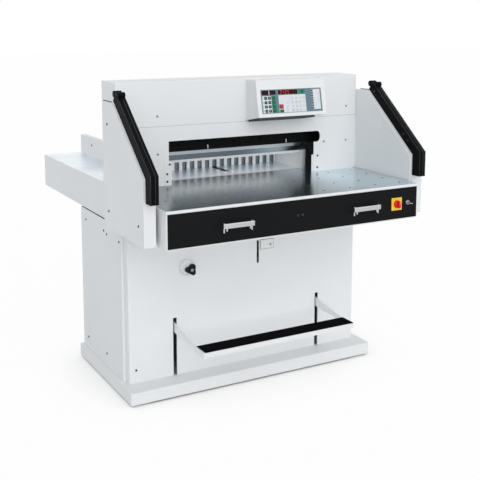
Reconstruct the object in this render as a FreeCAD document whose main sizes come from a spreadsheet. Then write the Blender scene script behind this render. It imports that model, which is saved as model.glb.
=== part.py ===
import FreeCAD, Part
import os
import re

import Sketcher

# Free-standing stack cutter for paper, in millimetres.
# X runs across the machine, Y from the operator's side to the back, Z up from the floor.
# Places along Y are counted from the front edge of the front table, and each sub-part's
# Placement carries them to the middle of the machine's length.

SIZES = {
    # whole machine
    "table_height": 899, "hood_rise": 447, "hood_half": 606, "rear_end": 1591, "handle_reach": 32,
    "sheet": 2, "gap": 0.3, "slip": 0.05,
    # base plinth and feet
    "base_overhang": 5, "base_front": 343, "base_rear": 1003, "base_height": 61, "base_wall": 4,
    "foot_height": 8, "foot_radius": 32, "foot_block": 90, "stud_radius": 8, "stud_length": 30,
    # cabinet
    "front_inset": 26, "side_inset": 15, "cabinet_front": 440, "side_front": 482, "cabinet_rear": 1000,
    "cover_drop": 150, "cover_bend": 6, "cover_lip": 16, "cover_gap": 5,
    "front_screw_side": 31, "front_screw_rise": 56,
    "arm_left": 366, "arm_right": 370, "arm_slot_half": 6.4, "arm_slot_top": 318,
    "depth_slot_middle": 49.2, "depth_slot_half": 4, "depth_slot_drop": 389, "depth_slot_tall": 102,
    # tables
    "table_inset": 11, "table_thick": 12, "table_rear": 545, "rear_inset": 17, "skirt_drop": 161,
    "valve_pitch": 132.7, "valve_shift": 14, "valve_radius": 5, "valve_first_row": 63,
    "valve_row_pitch": 118,
    "valve_proud": 0.5, "stick_width": 15, "stick_height": 16, "bed_reach": 7, "bed_depth": 27,
    "channel_room": 2,
    "channel_half": 364, "lay_thick": 29, "lay_height": 97, "lay_end": 1576, "lay_step": 14,
    "slot_shift": 14, "slot_half": 5, "slot_front": 674, "slot_rear": 1440,
    # apron and what sits on it
    "apron_face": 1.5, "panel_border": 5,
    "trigger_left": -304.5, "trigger_right": 304.5, "trigger_half": 67.5, "trigger_drop": 83.5,
    "trigger_height": 20, "trigger_thick": 9, "trigger_rise": 8, "trigger_pin_reach": 16,
    "trigger_pin_radius": 3, "trigger_pin_length": 16, "bracket_pitch": 61, "bracket_thick": 6,
    "bracket_tall": 38, "bracket_reach": 22, "lug_inset": 10, "lug_thick": 6, "lug_drop": 12,
    "switch_place": 479, "switch_half": 27, "switch_drop": 79, "switch_thick": 4,
    "switch_knob_radius": 14, "switch_knob_reach": 27, "switch_stem": 5, "switch_disc": 9,
    "switch_grip": 10,
    "lock_place": 540, "lock_drop": 78, "lock_radius": 10, "lock_reach": 6, "rotor_radius": 4,
    "lock_barrel": 6, "lock_length": 21, "key_thick": 2.4, "key_blade": 6, "key_blade_reach": 9,
    "key_bow": 18, "key_bow_reach": 25,
    "lamp_left": -19, "lamp_right": 3, "lamp_drop": 75, "lamp_radius": 5,
    # hood
    "hood_front": 474.5, "hood_rear": 636, "seam_rise": 256, "edge_round": 3,
    "hood_screw_inset": 56,
    "opening_right": 369, "opening_left": 370, "slot_right": 403, "slot_low": 139, "slot_high": 190,
    "slot_round": 20, "cheek_thick": 5, "cheek_reach": 545,
    "bracket_inner": 359, "bracket_outer": 392.5, "bracket_height": 105, "bracket_flange": 40,
    "strip_outer": 402, "strip_height": 79, "channel_ceiling": 12,
    # what sits on the front cover and the back
    "dial_place": -309, "dial_drop": 359, "dial_radius": 37, "dial_thick": 4, "dial_boss": 14,
    "dial_boss_reach": 38, "dial_shaft": 8, "knob_reach": 60, "knob_thick": 22, "knob_hub": 13,
    "knob_cap": 7, "knob_cap_reach": 2, "lobe_throw": 15, "lobe_radius": 10, "spindle_end": 30,
    "door_left": 63, "door_right": 129, "door_drop": 327, "door_tall": 41, "door_thick": 3,
    "door_lip": 5, "door_lock_side": 17, "door_lock_rise": 18, "door_lock": 6, "keyway": 2,
    "inlet_place": -430, "inlet_height": 150, "inlet_radius": 24, "inlet_bore": 8,
    "inlet_flange": 30, "inlet_neck": 12,
    # side wings and light guards
    "wing_thick": 55.7, "wing_front": 55, "wing_drop": 144, "wing_bend_rise": 119, "wing_crest": 367,
    "wing_top_rise": 377, "wing_rear": 477,
    "wing_chamfer": 20, "guard_inset": 6.7, "guard_shift": 6, "guard_width": 34, "guard_rise": 32,
    "guard_depth": 47, "guard_slope_depth": 42, "guard_round": 4, "guard_cap": 14, "guard_foot": 5,
    # console
    "console_left": 7.5, "console_right": 363.5, "console_low_front": 361, "console_top_front": 393,
    "console_low_rise": 281, "console_root_rise": 261, "console_top_rise": 442,
    "keypad_left": 19.5, "keypad_right": 333, "keypad_low": 16, "keypad_high": 121,
    "keypad_thick": 1.5, "window_low": 98, "window_high": 117, "window_thick": 0.8,
    "first_left": 23.5, "first_right": 58.5, "second_left": 62.5, "second_right": 94,
    "third_left": 107, "third_right": 206.5,
    # machine frame
    "frame_inset": 76, "frame_thick": 30, "frame_front": 548, "frame_rear": 628,
    "bridge_front": 568, "bridge_low": 213, "bridge_high": 266, "frame_top": 401,
    "frame_foot_rear": 960, "frame_foot_rise": 60, "frame_shelf_rear": 760, "frame_shelf_low": 30,
    "frame_shelf_high": 90, "frame_neck_drop": 52, "frame_arm_front": 60, "frame_arm_low": 40,
    "frame_arm_root": 14,
    # knife
    "knife_front": 547, "knife_thick": 18, "knife_left": 345, "knife_right": 445, "knife_low": 131,
    "knife_high": 351, "knife_drop": 89.8, "knife_shift": 30,
    "blade_thick": 10, "blade_right": 403, "blade_edge": 90, "blade_high": 210, "blade_land": 0.8,
    "blade_bevel": 24, "bolt_middle": 12, "bolt_pitch": 137, "bolt_rise": 161, "bolt_radius": 6,
    "guide_radius": 14, "guide_rise": 239, "guide_left": 230, "guide_right": 330, "guide_head": 20,
    "guide_pin_reach": 3, "guide_head_reach": 7, "bolt_head": 10, "bolt_head_high": 7,
    "bolt_socket": 5, "bolt_length": 25,
    "pull_rod_place": 430, "pull_rod_radius": 7, "eye_height": 565, "eye_radius": 20, "crank_pin": 10,
    "crank_radius": 62, "crank_shaft": 12, "crank_disc": 20, "crank_shaft_length": 70,
    "pull_eye_thick": 16, "pull_eye_bore": 12,
    "gearbox_front": 615, "gearbox_side": 65, "gearbox_deep": 120, "gearbox_half": 70,
    "gearbox_bore": 59, "knife_motor_radius": 55, "knife_motor_end": 315, "cowl_radius": 58,
    "cowl_length": 40, "cowl_end": 330,
    # clamp
    "clamp_gap": 3, "clamp_thick": 44, "clamp_half": 361, "clamp_lift": 78, "clamp_height": 110,
    "comb_pitch": 40, "comb_width": 20, "comb_depth": 16,
    "pillar_place": 300, "pillar_radius": 15, "bush_wall": 5, "bush_flange": 4, "bush_rim": 6,
    "yoke_low": 350, "yoke_high": 380, "yoke_room": 5, "yoke_width": 40, "tie_inset": 13,
    "tie_radius": 9, "tie_room": 3,
    "lower_yoke_low": 380, "lower_yoke_high": 400, "ram_radius": 12, "ram_low": 195,
    "barrel_radius": 42, "barrel_high": 300, "barrel_floor": 110,
    "tank_far": 340, "tank_near": 60, "tank_front": 30, "tank_rear": 170, "tank_height": 190,
    "pump_back": 105, "pump_radius": 60, "pump_height": 140, "pipe_rise": 24, "pipe_radius": 7,
    "control_left": 90, "control_right": 340, "control_front": 680, "control_rear": 860,
    "control_height": 230,
    # back gauge
    "gauge_face": 810, "rib_depth": 16, "gauge_plate": 12, "gauge_height": 86, "gauge_half": 361.5,
    "rib_pitch": 40, "rib_width": 16, "gauge_foot": 70, "gauge_foot_high": 22,
    "carriage_front": 858, "carriage_rear": 940, "carriage_half": 134,
    "carriage_low_drop": 71, "carriage_high_drop": 19,
    "screw_drop": 49, "screw_radius": 10, "guide_rod_pitch": 110, "end_plate_front": 645,
    "end_plate_rear": 1450, "end_plate_thick": 20, "motor_half": 37, "motor_shaft": 6,
    "screw_end": 6, "screw_tail": 2, "coupling_wall": 8, "coupling_length": 30,
    "motor_shaft_length": 45, "motor_gap": 36, "motor_length": 60, "motor_bore": 13,
    # treadle
    "pivot_back": 900, "pivot_height": 335, "tray_left": 370, "tray_right": 377, "tray_front": 150,
    "tray_rear": 235, "tray_low": 238, "tray_high": 259, "tray_wall": 3, "mat_thick": 3,
    "mat_left": 362, "mat_edge": 1, "arm_half": 4, "arm_low": 255.5, "arm_height": 39,
    "shaft_radius": 14, "shaft_collar": 12, "bearing_half": 22, "bearing_thick": 30, "shaft_end": 2,
}

# Places that several pieces share, written with the sizes above.
PLACES = {
    "origin_back": "((rear_end - handle_reach) / 2)",
    "overall_height": "(table_height + hood_rise)",
    "table_half": "(hood_half - table_inset)",
    "plate_half": "(table_half - sheet - gap)",
    "plate_front": "(apron_face + sheet + gap)",
    "table_low": "(table_height - table_thick)",
    "base_half": "(hood_half + base_overhang)",
    "rear_half": "(hood_half - rear_inset)",
    "side_half": "(hood_half - side_inset)",
    "front_half": "(hood_half - front_inset)",
    "cover_top": "(table_height - cover_drop)",
    "skirt_low": "(table_height - skirt_drop)",
    "seam": "(table_height + seam_rise)",
    "frame_outer": "(hood_half - frame_inset)",
    "frame_inner": "(frame_outer - frame_thick)",
    "yoke_half": "(frame_inner - yoke_room)",
    "tie_place": "(yoke_half - tie_inset)",
    "screw_side": "(hood_half - hood_screw_inset)",
    "wing_inner": "(hood_half + gap)",
    "wing_outer": "(wing_inner + wing_thick)",
    "blade_front": "(knife_front + knife_thick)",
    "cut_line": "(blade_front + blade_thick)",
    "clamp_front": "(cut_line + clamp_gap)",
    "clamp_rear": "(clamp_front + clamp_thick)",
    "clamp_middle": "(clamp_front + clamp_thick / 2)",
    "stick_front": "(cut_line - stick_width / 2)",
    "stick_rear": "(cut_line + stick_width / 2)",
    "crank_height": "(eye_height - knife_drop / 2)",
    "crank_place": "(pull_rod_place - knife_shift / 2)",
    "cheek_top": "(table_height + slot_low - sheet)",
    "wing_bend": "(table_height + wing_bend_rise)",
    "wing_top": "(table_height + wing_top_rise)",
    "guard_low": "(table_height + guard_rise)",
    "console_low": "(table_height + console_low_rise)",
    "console_root": "(table_height + console_root_rise)",
    "console_top": "(table_height + console_top_rise)",
    "carriage_low": "(table_height - carriage_low_drop)",
    "carriage_high": "(table_height - carriage_high_drop)",
    "screw_height": "(table_height - screw_drop)",
    "depth_slot_low": "(table_height - depth_slot_drop)",
    "depth_slot_high": "(depth_slot_low + depth_slot_tall)",
    "dial_height": "(table_height - dial_drop)",
    "door_low": "(table_height - door_drop)",
    "door_high": "(door_low + door_tall)",
}

doc = FreeCAD.newDocument("stack_cutter")
sheet = doc.addObject("Spreadsheet::Sheet", "Sizes")
for row, (alias, size) in enumerate(SIZES.items(), start=1):
    sheet.set(f"A{row}", alias)
    sheet.set(f"B{row}", str(size))
    sheet.setAlias(f"B{row}", alias)
doc.recompute()

SIZE_WORD = re.compile(r"\b(" + "|".join(sorted(SIZES, key=len, reverse=True)) + r")\b")
PLACE_WORD = re.compile(r"\b(" + "|".join(sorted(PLACES, key=len, reverse=True)) + r")\b")
nodes = []


def full(text):
    """Write a place out in the sheet's own cells."""
    text = str(text)
    while PLACE_WORD.search(text):
        text = PLACE_WORD.sub(lambda word: PLACES[word.group(0)], text)
    return SIZE_WORD.sub(lambda word: "Sizes." + word.group(0), text)


def bind(item, prop, text):
    item.setExpression(prop, full(text))


def size(text):
    """The number that an expression of sizes has at present."""
    return float(doc.Sizes.evalExpression(full(text)))


def box(x, y, z):
    """A block between two places along each axis."""
    block = doc.addObject("Part::Box", "block")
    for side, axis, (low, high) in zip(("Length", "Width", "Height"), "xyz", (x, y, z)):
        bind(block, side, f"({high}) - ({low})")
        bind(block, f"Placement.Base.{axis}", low)
    return block


TURNS = {
    "x": FreeCAD.Rotation(FreeCAD.Vector(0, 1, 0), 90),
    "y": FreeCAD.Rotation(FreeCAD.Vector(1, 0, 0), -90),
    "z": FreeCAD.Rotation(),
}


def rod(axis, x, y, z, radius, length):
    """A cylinder that starts at a point and runs along one axis."""
    cylinder = doc.addObject("Part::Cylinder", "rod")
    cylinder.Placement = FreeCAD.Placement(FreeCAD.Vector(), TURNS[axis])
    for place, text in zip("xyz", (x, y, z)):
        bind(cylinder, f"Placement.Base.{place}", text)
    bind(cylinder, "Radius", radius)
    bind(cylinder, "Height", length)
    return cylinder


def group(solids):
    """Separate solids kept as one item."""
    compound = doc.addObject("Part::Compound", "group")
    compound.Links = list(solids)
    return compound


def fuse(*solids):
    joined = doc.addObject("Part::MultiFuse", "joined")
    joined.Shapes = list(solids)
    joined.Refine = True
    return joined


def cut(base, tools):
    """The base less every tool in the list."""
    result = doc.addObject("Part::Cut", "cut")
    result.Base = base
    result.Tool = tools[0] if len(tools) == 1 else group(tools)
    return result


def mirrored(solid):
    """The same piece for the other side of the machine."""
    twin = doc.addObject("Part::Mirroring", "mirrored")
    twin.Source = solid
    twin.Normal = FreeCAD.Vector(1, 0, 0)
    return twin


def node(label, item):
    """Name a finished sub-part and carry it to the machine's own origin."""
    item.Label = label
    bound = {path.lstrip("."): text for path, text in item.ExpressionEngine}
    here = bound.get("Placement.Base.y", "0")
    item.setExpression("Placement.Base.y", f"{here} - {full('origin_back')}")
    nodes.append(item)
    return item


def pair(right):
    """A piece of the right side and its mirror image on the left."""
    return [right, mirrored(right)]


def body(name):
    return doc.addObject("PartDesign::Body", name)


def origin_plane(owner, role):
    return next(item for item in owner.Origin.OriginFeatures if item.Role == role)


def outline(owner, plane, station, points):
    """A closed outline of straight lines through points given as pairs of places."""
    drawing = owner.newObject("Sketcher::SketchObject", "outline")
    drawing.AttachmentSupport = [(origin_plane(owner, plane + "_Plane"), "")]
    drawing.MapMode = "FlatFace"
    bind(drawing, "AttachmentOffset.Base.z", station)
    spots = [FreeCAD.Vector(size(across), size(up), 0) for across, up in points]
    count = len(spots)
    for index in range(count):
        drawing.addGeometry(Part.LineSegment(spots[index], spots[(index + 1) % count]), False)
    for index in range(count):
        drawing.addConstraint(Sketcher.Constraint("Coincident", index, 2, (index + 1) % count, 1))
    for index, (across, up) in enumerate(points):
        for kind, text, value in (("DistanceX", across, spots[index].x), ("DistanceY", up, spots[index].y)):
            number = drawing.addConstraint(Sketcher.Constraint(kind, -1, 1, index, 1, value))
            bind(drawing, f"Constraints[{number}]", text)
    return drawing


def pad(owner, plane, points, low, high):
    """Material between two stations across the plane of an outline."""
    station = f"-({high})" if plane == "XZ" else low
    feature = owner.newObject("PartDesign::Pad", "pad")
    feature.Profile = outline(owner, plane, station, points)
    bind(feature, "Length", f"({high}) - ({low})")
    return feature


def pocket(owner, plane, points, low, high):
    """A cut between two stations across the plane of an outline."""
    station = f"-({low})" if plane == "XZ" else high
    feature = owner.newObject("PartDesign::Pocket", "pocket")
    feature.Profile = outline(owner, plane, station, points)
    bind(feature, "Length", f"({high}) - ({low})")
    return feature


def rectangle(left, right, low, high):
    return [(left, low), (right, low), (right, high), (left, high)]


def fillet(owner, feature, radius, chosen):
    """Round the edges that a test picks by their middle and direction."""
    doc.recompute()
    names = []
    for number, edge in enumerate(feature.Shape.Edges, start=1):
        if len(edge.Vertexes) < 2:
            continue
        run = edge.Vertexes[1].Point - edge.Vertexes[0].Point
        if run.Length > 0 and chosen(edge.CenterOfMass, run.normalize()):
            names.append(f"Edge{number}")
    rounding = owner.newObject("PartDesign::Fillet", "round")
    rounding.Base = (feature, names)
    bind(rounding, "Radius", radius)
    return rounding


def shell(owner, feature, thick, open_sides):
    """Hollow a block to a sheet, open on the sides whose outward directions are listed."""
    doc.recompute()
    names = []
    for number, face in enumerate(feature.Shape.Faces, start=1):
        middle = face.Surface.parameter(face.CenterOfMass)
        normal = face.normalAt(*middle)
        if any((normal - FreeCAD.Vector(*side)).Length < 0.01 for side in open_sides):
            names.append(f"Face{number}")
    hollow = owner.newObject("PartDesign::Thickness", "shell")
    hollow.Base = (feature, names)
    hollow.Reversed = True
    hollow.Join = 1
    bind(hollow, "Value", thick)
    return hollow


def upright(run):
    return abs(run.z) > 0.99


def across(run):
    return abs(run.x) > 0.99


def lengthwise(run):
    return abs(run.y) > 0.99


SCREW_HEAD = 5
SCREW_HEIGHT = 3
SCREW_SHANK = 2.5
SCREW_LENGTH = 9
OUTWARD = {"front": ("y", -1), "left": ("x", -1), "right": ("x", 1)}


def screw(side, x, y, z):
    """A button-head screw whose head stands on a cover at the point given."""
    axis, sign = OUTWARD[side]
    start = {"x": x, "y": y, "z": z}
    head_at = dict(start)
    tool_at = dict(start)
    shank_at = dict(start)
    head_at[axis] = start[axis] if sign > 0 else f"{start[axis]} - {SCREW_HEIGHT}"
    shank_at[axis] = f"{start[axis]} - {SCREW_LENGTH}" if sign > 0 else start[axis]
    tool_at[axis] = f"{start[axis]} + {SCREW_HEIGHT - 1.5}" if sign > 0 else f"{start[axis]} - {SCREW_HEIGHT}"
    head = rod(axis, head_at["x"], head_at["y"], head_at["z"], SCREW_HEAD, SCREW_HEIGHT)
    socket = rod(axis, tool_at["x"], tool_at["y"], tool_at["z"], SCREW_HEAD / 2.5, 1.5)
    shank = rod(axis, shank_at["x"], shank_at["y"], shank_at["z"], SCREW_SHANK, SCREW_LENGTH)
    return cut(fuse(head, shank), [socket])


def screw_hole(side, x, y, z):
    """The hole that a screw's shank needs in its cover."""
    axis, sign = OUTWARD[side]
    start = {"x": x, "y": y, "z": z}
    start[axis] = f"{start[axis]} - {SCREW_LENGTH + 1}" if sign > 0 else f"{start[axis]} - 1"
    return rod(axis, start["x"], start["y"], start["z"], f"{SCREW_SHANK} + slip", SCREW_LENGTH + 2)


# Base: a pan of steel plate with a solid block over each foot.

FOOT_CENTRES = [(side_x, side_y) for side_x in ("-", "") for side_y in ("front", "rear")]


def foot_centre(side_x, side_y):
    x = f"{side_x}(base_half - base_wall - foot_block / 2)"
    if side_y == "front":
        return x, "base_front + base_wall + foot_block / 2"
    return x, "base_rear - base_wall - foot_block / 2"


def base_plinth():
    plinth = body("plinth")
    block = pad(plinth, "XY", rectangle("-base_half", "base_half", "base_front", "base_rear"),
                "foot_height", "base_height")
    fillet(plinth, block, "cover_bend", lambda middle, run: upright(run))
    wall_x = "(base_half - base_wall)"
    block_x = "(base_half - base_wall - foot_block)"
    front, rear = "(base_front + base_wall)", "(base_rear - base_wall)"
    block_front, block_rear = f"({front} + foot_block)", f"({rear} - foot_block)"
    cross = [
        (f"-{block_x}", front), (block_x, front), (block_x, block_front), (wall_x, block_front),
        (wall_x, block_rear), (block_x, block_rear), (block_x, rear), (f"-{block_x}", rear),
        (f"-{block_x}", block_rear), (f"-{wall_x}", block_rear), (f"-{wall_x}", block_front),
        (f"-{block_x}", block_front),
    ]
    pocket(plinth, "XY", cross, "foot_height", "base_height - base_wall")
    holes = []
    for corner in FOOT_CENTRES:
        x, y = foot_centre(*corner)
        holes.append(rod("z", x, y, "foot_height - 1", "stud_radius + slip", "stud_length + 2"))
    node("base_plinth", cut(plinth, holes))


def levelling_feet():
    feet = []
    for corner in FOOT_CENTRES:
        x, y = foot_centre(*corner)
        disc = rod("z", x, y, 0, "foot_radius", "foot_height")
        stud = rod("z", x, y, "foot_height / 2", "stud_radius", "foot_height / 2 + stud_length")
        feet.append(fuse(disc, stud))
    node("levelling_feet", group(feet))


# Machine frame: two cast cheeks that stand on the base, carry the tables and hold the bridge.

def machine_frames():
    cheek = body("cheek")
    points = [
        ("frame_front", "base_height"), ("frame_foot_rear", "base_height"),
        ("frame_foot_rear", "pivot_height + frame_foot_rise"),
        ("frame_shelf_rear", "crank_height - frame_shelf_low"),
        ("frame_shelf_rear", "crank_height + frame_shelf_high"), ("frame_rear", "cover_top - frame_neck_drop"),
        ("frame_rear", "table_height + frame_top"), ("frame_front", "table_height + frame_top"),
        ("frame_front", "table_low"), ("frame_arm_front", "table_low"),
        ("frame_arm_front", "table_low - frame_arm_low"), ("frame_front", "cover_top + frame_arm_root"),
    ]
    pad(cheek, "YZ", points, "frame_inner", "frame_outer")
    node("machine_frames", group(pair(cheek)))


def bridge_beam():
    bridge = box(("-frame_inner", "frame_inner"), ("bridge_front", "frame_rear"),
                 ("table_height + bridge_low", "table_height + bridge_high"))
    depth = "bridge_high - bridge_low + 2"
    low = "table_height + bridge_low - 1"
    holes = []
    for side in ("-", ""):
        holes.append(rod("z", f"{side}pillar_place", "clamp_middle", low,
                         "pillar_radius + bush_wall + slip / 2", depth))
        holes.append(rod("z", f"{side}tie_place", "clamp_middle", low, "tie_radius + tie_room", depth))
    node("bridge_beam", cut(bridge, holes))


def bridge_guides():
    """Bushes for the clamp's pillars, and two round guides for the slanted slots of the knife beam."""
    guides = []
    for side in ("-", ""):
        x = f"{side}pillar_place"
        sleeve = rod("z", x, "clamp_middle", "table_height + bridge_low", "pillar_radius + bush_wall",
                     "bridge_high - bridge_low + bush_flange")
        flange = rod("z", x, "clamp_middle", "table_height + bridge_high", 
                     "pillar_radius + bush_wall + bush_rim", "bush_flange")
        bore = rod("z", x, "clamp_middle", "table_height + bridge_low - 1", "pillar_radius + slip",
                   "bridge_high - bridge_low + bush_flange + 2")
        guides.append(cut(fuse(sleeve, flange), [bore]))
    for x in ("-guide_left", "guide_right"):
        z = "table_height + guide_rise"
        pin = rod("y", x, "knife_front - guide_pin_reach", z, "guide_radius",
                  "bridge_front - knife_front + guide_pin_reach")
        head = rod("y", x, "knife_front - guide_head_reach", z, "guide_head", "guide_head_reach - gap")
        guides.append(fuse(pin, head))
    node("bridge_guides", group(guides))


# Tables.

def valve_places():
    return [(column, row_place) for row_place in range(4) for column in range(-4, 5)]


def valve_centre(column, row_place):
    return f"valve_shift + ({column}) * valve_pitch", f"valve_first_row + {row_place} * valve_row_pitch"


def front_table():
    plate = body("front_plate")
    step = "(channel_half + channel_room)"
    points = [
        ("-plate_half", "plate_front"), ("plate_half", "plate_front"), ("plate_half", "table_rear"),
        (step, "table_rear"), (step, "stick_front - gap"), (f"-{step}", "stick_front - gap"),
        (f"-{step}", "table_rear"), ("-plate_half", "table_rear"),
    ]
    pad(plate, "XY", points, "table_low", "table_height")
    seats = []
    for place in valve_places():
        x, y = valve_centre(*place)
        seats.append(rod("z", x, y, "table_low - 1", "valve_radius + slip", "table_thick + 2"))
    node("front_table", cut(plate, seats))


def air_valves():
    """Steel buttons in the table that let air out under the stack."""
    valves = []
    for place in valve_places():
        x, y = valve_centre(*place)
        valves.append(rod("z", x, y, "table_low", "valve_radius", "table_thick + valve_proud"))
    node("air_valves", group(valves))


def stick_bed():
    half = "(channel_half + channel_room)"
    bed = box((f"-{half}", half), ("stick_front - bed_reach", "stick_rear + bed_reach"),
              ("table_low - bed_depth", "table_low"))
    groove = box((f"-{half} - 1", f"{half} + 1"), ("stick_front - slip", "stick_rear + slip"),
                 ("table_height - gap / 2 - stick_height", "table_height"))
    node("stick_bed", cut(bed, [groove]))


def cutting_stick():
    half = "(channel_half + channel_room)"
    top = "(table_height - gap / 2)"
    stick = box((f"-{half}", half), ("stick_front", "stick_rear"), (f"{top} - stick_height", top))
    node("cutting_stick", stick)


def rear_table():
    plate = body("rear_plate")
    inner = "(channel_half + lay_thick)"
    outer = "(rear_half - sheet)"
    front = "stick_rear + gap"
    points = [
        (f"-{inner}", front), (inner, front), (inner, "hood_rear"), (outer, "hood_rear"),
        (outer, "rear_end - sheet"), (f"-{outer}", "rear_end - sheet"), (f"-{outer}", "hood_rear"),
        (f"-{inner}", "hood_rear"),
    ]
    pad(plate, "XY", points, "table_low", "table_height")
    slot = rectangle("slot_shift - slot_half", "slot_shift + slot_half", "slot_front", "slot_rear")
    pocket(plate, "XY", slot, "table_low", "table_height")
    node("rear_table", plate)


def rear_skirt():
    """The sheet-metal sides and back of the rear table, with a lip turned in below."""
    skirt = body("skirt")
    outer = "rear_half"
    block = pad(skirt, "XY", rectangle(f"-{outer}", outer, "hood_rear", "rear_end"),
                "skirt_low", "table_height")
    fillet(skirt, block, "edge_round", lambda middle, run: upright(run) and middle.y > size("rear_end") - 1)
    inner = "(rear_half - sheet)"
    pocket(skirt, "XY", rectangle(f"-{inner}", inner, "hood_rear - 1", "rear_end - sheet"),
           "skirt_low + sheet", "table_height")
    lip = "(rear_half - cover_lip)"
    pocket(skirt, "XY", rectangle(f"-{lip}", lip, "hood_rear - 1", "rear_end - cover_lip"),
           "skirt_low", "skirt_low + sheet")
    node("rear_table_skirt", skirt)


def side_lays():
    """The two stops that the stack is squared against, one on each side of the channel."""
    lay = body("lay")
    plan = rectangle("channel_half", "channel_half + lay_thick", "clamp_rear + lay_step", "lay_end")
    bar = pad(lay, "XY", plan, "table_height", "table_height + lay_height")
    fillet(lay, bar, "edge_round", lambda middle, run: upright(run) and middle.y > size("lay_end") - 1)
    tip = box(("channel_half", "channel_half + lay_thick"), ("clamp_front - 1", "clamp_rear + lay_step + 0.5"),
              ("table_height", "table_height + lay_height"))
    holes = [screw_hole("right", "channel_half + lay_thick", *place) for place in LAY_SCREWS]
    node("side_lays", group(pair(cut(fuse(lay, tip), holes))))


# Apron under the front table, with the panel and what the operator touches.

def table_apron():
    """A white tray under the front table, whose rim stands round the table's edge."""
    apron = body("apron")
    block = pad(apron, "XY", rectangle("-table_half", "table_half", "apron_face", "hood_front - gap"),
                "cover_top", "table_height")
    shell(apron, block, "sheet", [(0, 0, 1), (0, 1, 0)])
    node("table_apron", cut(apron, [lock_hole()]))


def lock_hole():
    height = "table_height - lock_drop"
    return rod("y", "lock_place", -1, height, "lock_barrel + slip", "apron_face + sheet + 2")


def fascia_panel():
    panel = box(("-table_half + panel_border", "table_half - panel_border"), (0, "apron_face"),
                ("cover_top + panel_border", "table_low"))
    node("fascia_panel", cut(panel, [lock_hole()]))


def trigger_bar(middle):
    """A bright bar on two lugs, turning on the pins in its brackets."""
    height = "table_height - trigger_drop"
    centre = f"({height} + trigger_rise)"
    bar = body("bar")
    block = pad(bar, "XZ", rectangle(f"{middle} - trigger_half", f"{middle} + trigger_half",
                                     f"{centre} - trigger_height / 2", f"{centre} + trigger_height / 2"),
                "-handle_reach", "-handle_reach + trigger_thick")
    fillet(bar, block, "trigger_thick / 3", lambda place, run: across(run))
    pieces = [bar]
    for side in (-1, 1):
        lug = f"({middle} + ({side}) * (bracket_pitch - lug_inset))"
        pin = f"{middle} + ({side}) * (bracket_pitch - lug_inset / 2)"
        pieces.append(rod("x", f"{pin} - trigger_pin_length / 2", "-trigger_pin_reach", height,
                          "trigger_pin_radius", "trigger_pin_length"))
        pieces.append(box((f"{lug} - lug_thick / 2", f"{lug} + lug_thick / 2"),
                          ("-handle_reach + trigger_thick / 2", "-trigger_pin_reach + 2 * trigger_pin_radius"),
                          (f"{height} - lug_drop", f"{centre}")))
    return fuse(*pieces)


def trigger_brackets():
    """Four upright plates on the panel that hold the pins of the two bars."""
    plates = []
    height = "table_height - trigger_drop"
    for middle in ("trigger_left", "trigger_right"):
        for side in (-1, 1):
            place = f"{middle} + ({side}) * bracket_pitch"
            plate = box((f"{place} - bracket_thick / 2", f"{place} + bracket_thick / 2"), ("-bracket_reach", 0),
                        (f"{height} - bracket_tall / 2", f"{height} + bracket_tall / 2"))
            bore = rod("x", f"{place} - bracket_thick", "-trigger_pin_reach", height,
                       "trigger_pin_radius + slip", "2 * bracket_thick")
            plates.append(cut(plate, [bore]))
    node("trigger_brackets", group(plates))


def trigger_bars():
    node("trigger_bar_left", trigger_bar("trigger_left"))
    node("trigger_bar_right", trigger_bar("trigger_right"))


def main_switch():
    """The square plate of the main switch and the turning knob that stands on it."""
    height = "table_height - switch_drop"
    plate = box(("switch_place - switch_half", "switch_place + switch_half"), ("-switch_thick", 0),
                (f"{height} - switch_half", f"{height} + switch_half"))
    bore = rod("y", "switch_place", "-switch_thick - 1", height, "switch_stem + slip", "switch_thick + 2")
    node("main_switch_plate", cut(plate, [bore]))
    disc = rod("y", "switch_place", "-switch_thick - gap - switch_disc", height, "switch_knob_radius",
               "switch_disc")
    grip = box(("switch_place - switch_grip / 2", "switch_place + switch_grip / 2"),
               ("-switch_knob_reach", "-switch_thick - switch_stem"),
               (f"{height} - switch_knob_radius + 1", f"{height} + switch_knob_radius - 1"))
    stem = rod("y", "switch_place", "-switch_thick - switch_stem", height, "switch_stem",
               "switch_thick + switch_stem - gap")
    node("main_switch_knob", fuse(disc, grip, stem))


def key_switch():
    """A key-operated lock in the panel, and the rotor that turns with its key."""
    height = "table_height - lock_drop"
    ring = rod("y", "lock_place", "-lock_reach", height, "lock_radius", "lock_reach")
    barrel = rod("y", "lock_place", "-1", height, "lock_barrel", "lock_length")
    bore = rod("y", "lock_place", "-lock_reach - 1", height, "rotor_radius + slip",
               "lock_length - rotor_radius + lock_reach")
    node("key_switch", cut(fuse(ring, barrel), [bore]))
    rotor = rod("y", "lock_place", "-lock_reach", height, "rotor_radius",
                "lock_length - rotor_radius - 2 + lock_reach")
    level = (f"{height} - key_thick / 2", f"{height} + key_thick / 2")
    blade = box(("lock_place - key_blade / 2", "lock_place + key_blade / 2"),
                ("-lock_reach - key_blade_reach", "-lock_reach + 1"), level)
    bow = box(("lock_place - key_bow / 2", "lock_place + key_bow / 2"),
              ("-lock_reach - key_bow_reach", "-lock_reach - key_blade_reach + 1"), level)
    node("switch_key", fuse(rotor, blade, bow))


def pilot_lamps():
    lamps = [rod("y", place, -3, "table_height - lamp_drop", "lamp_radius", 3)
             for place in ("lamp_left", "lamp_right")]
    node("pilot_lamps", group(lamps))


# Cabinet covers.

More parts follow.
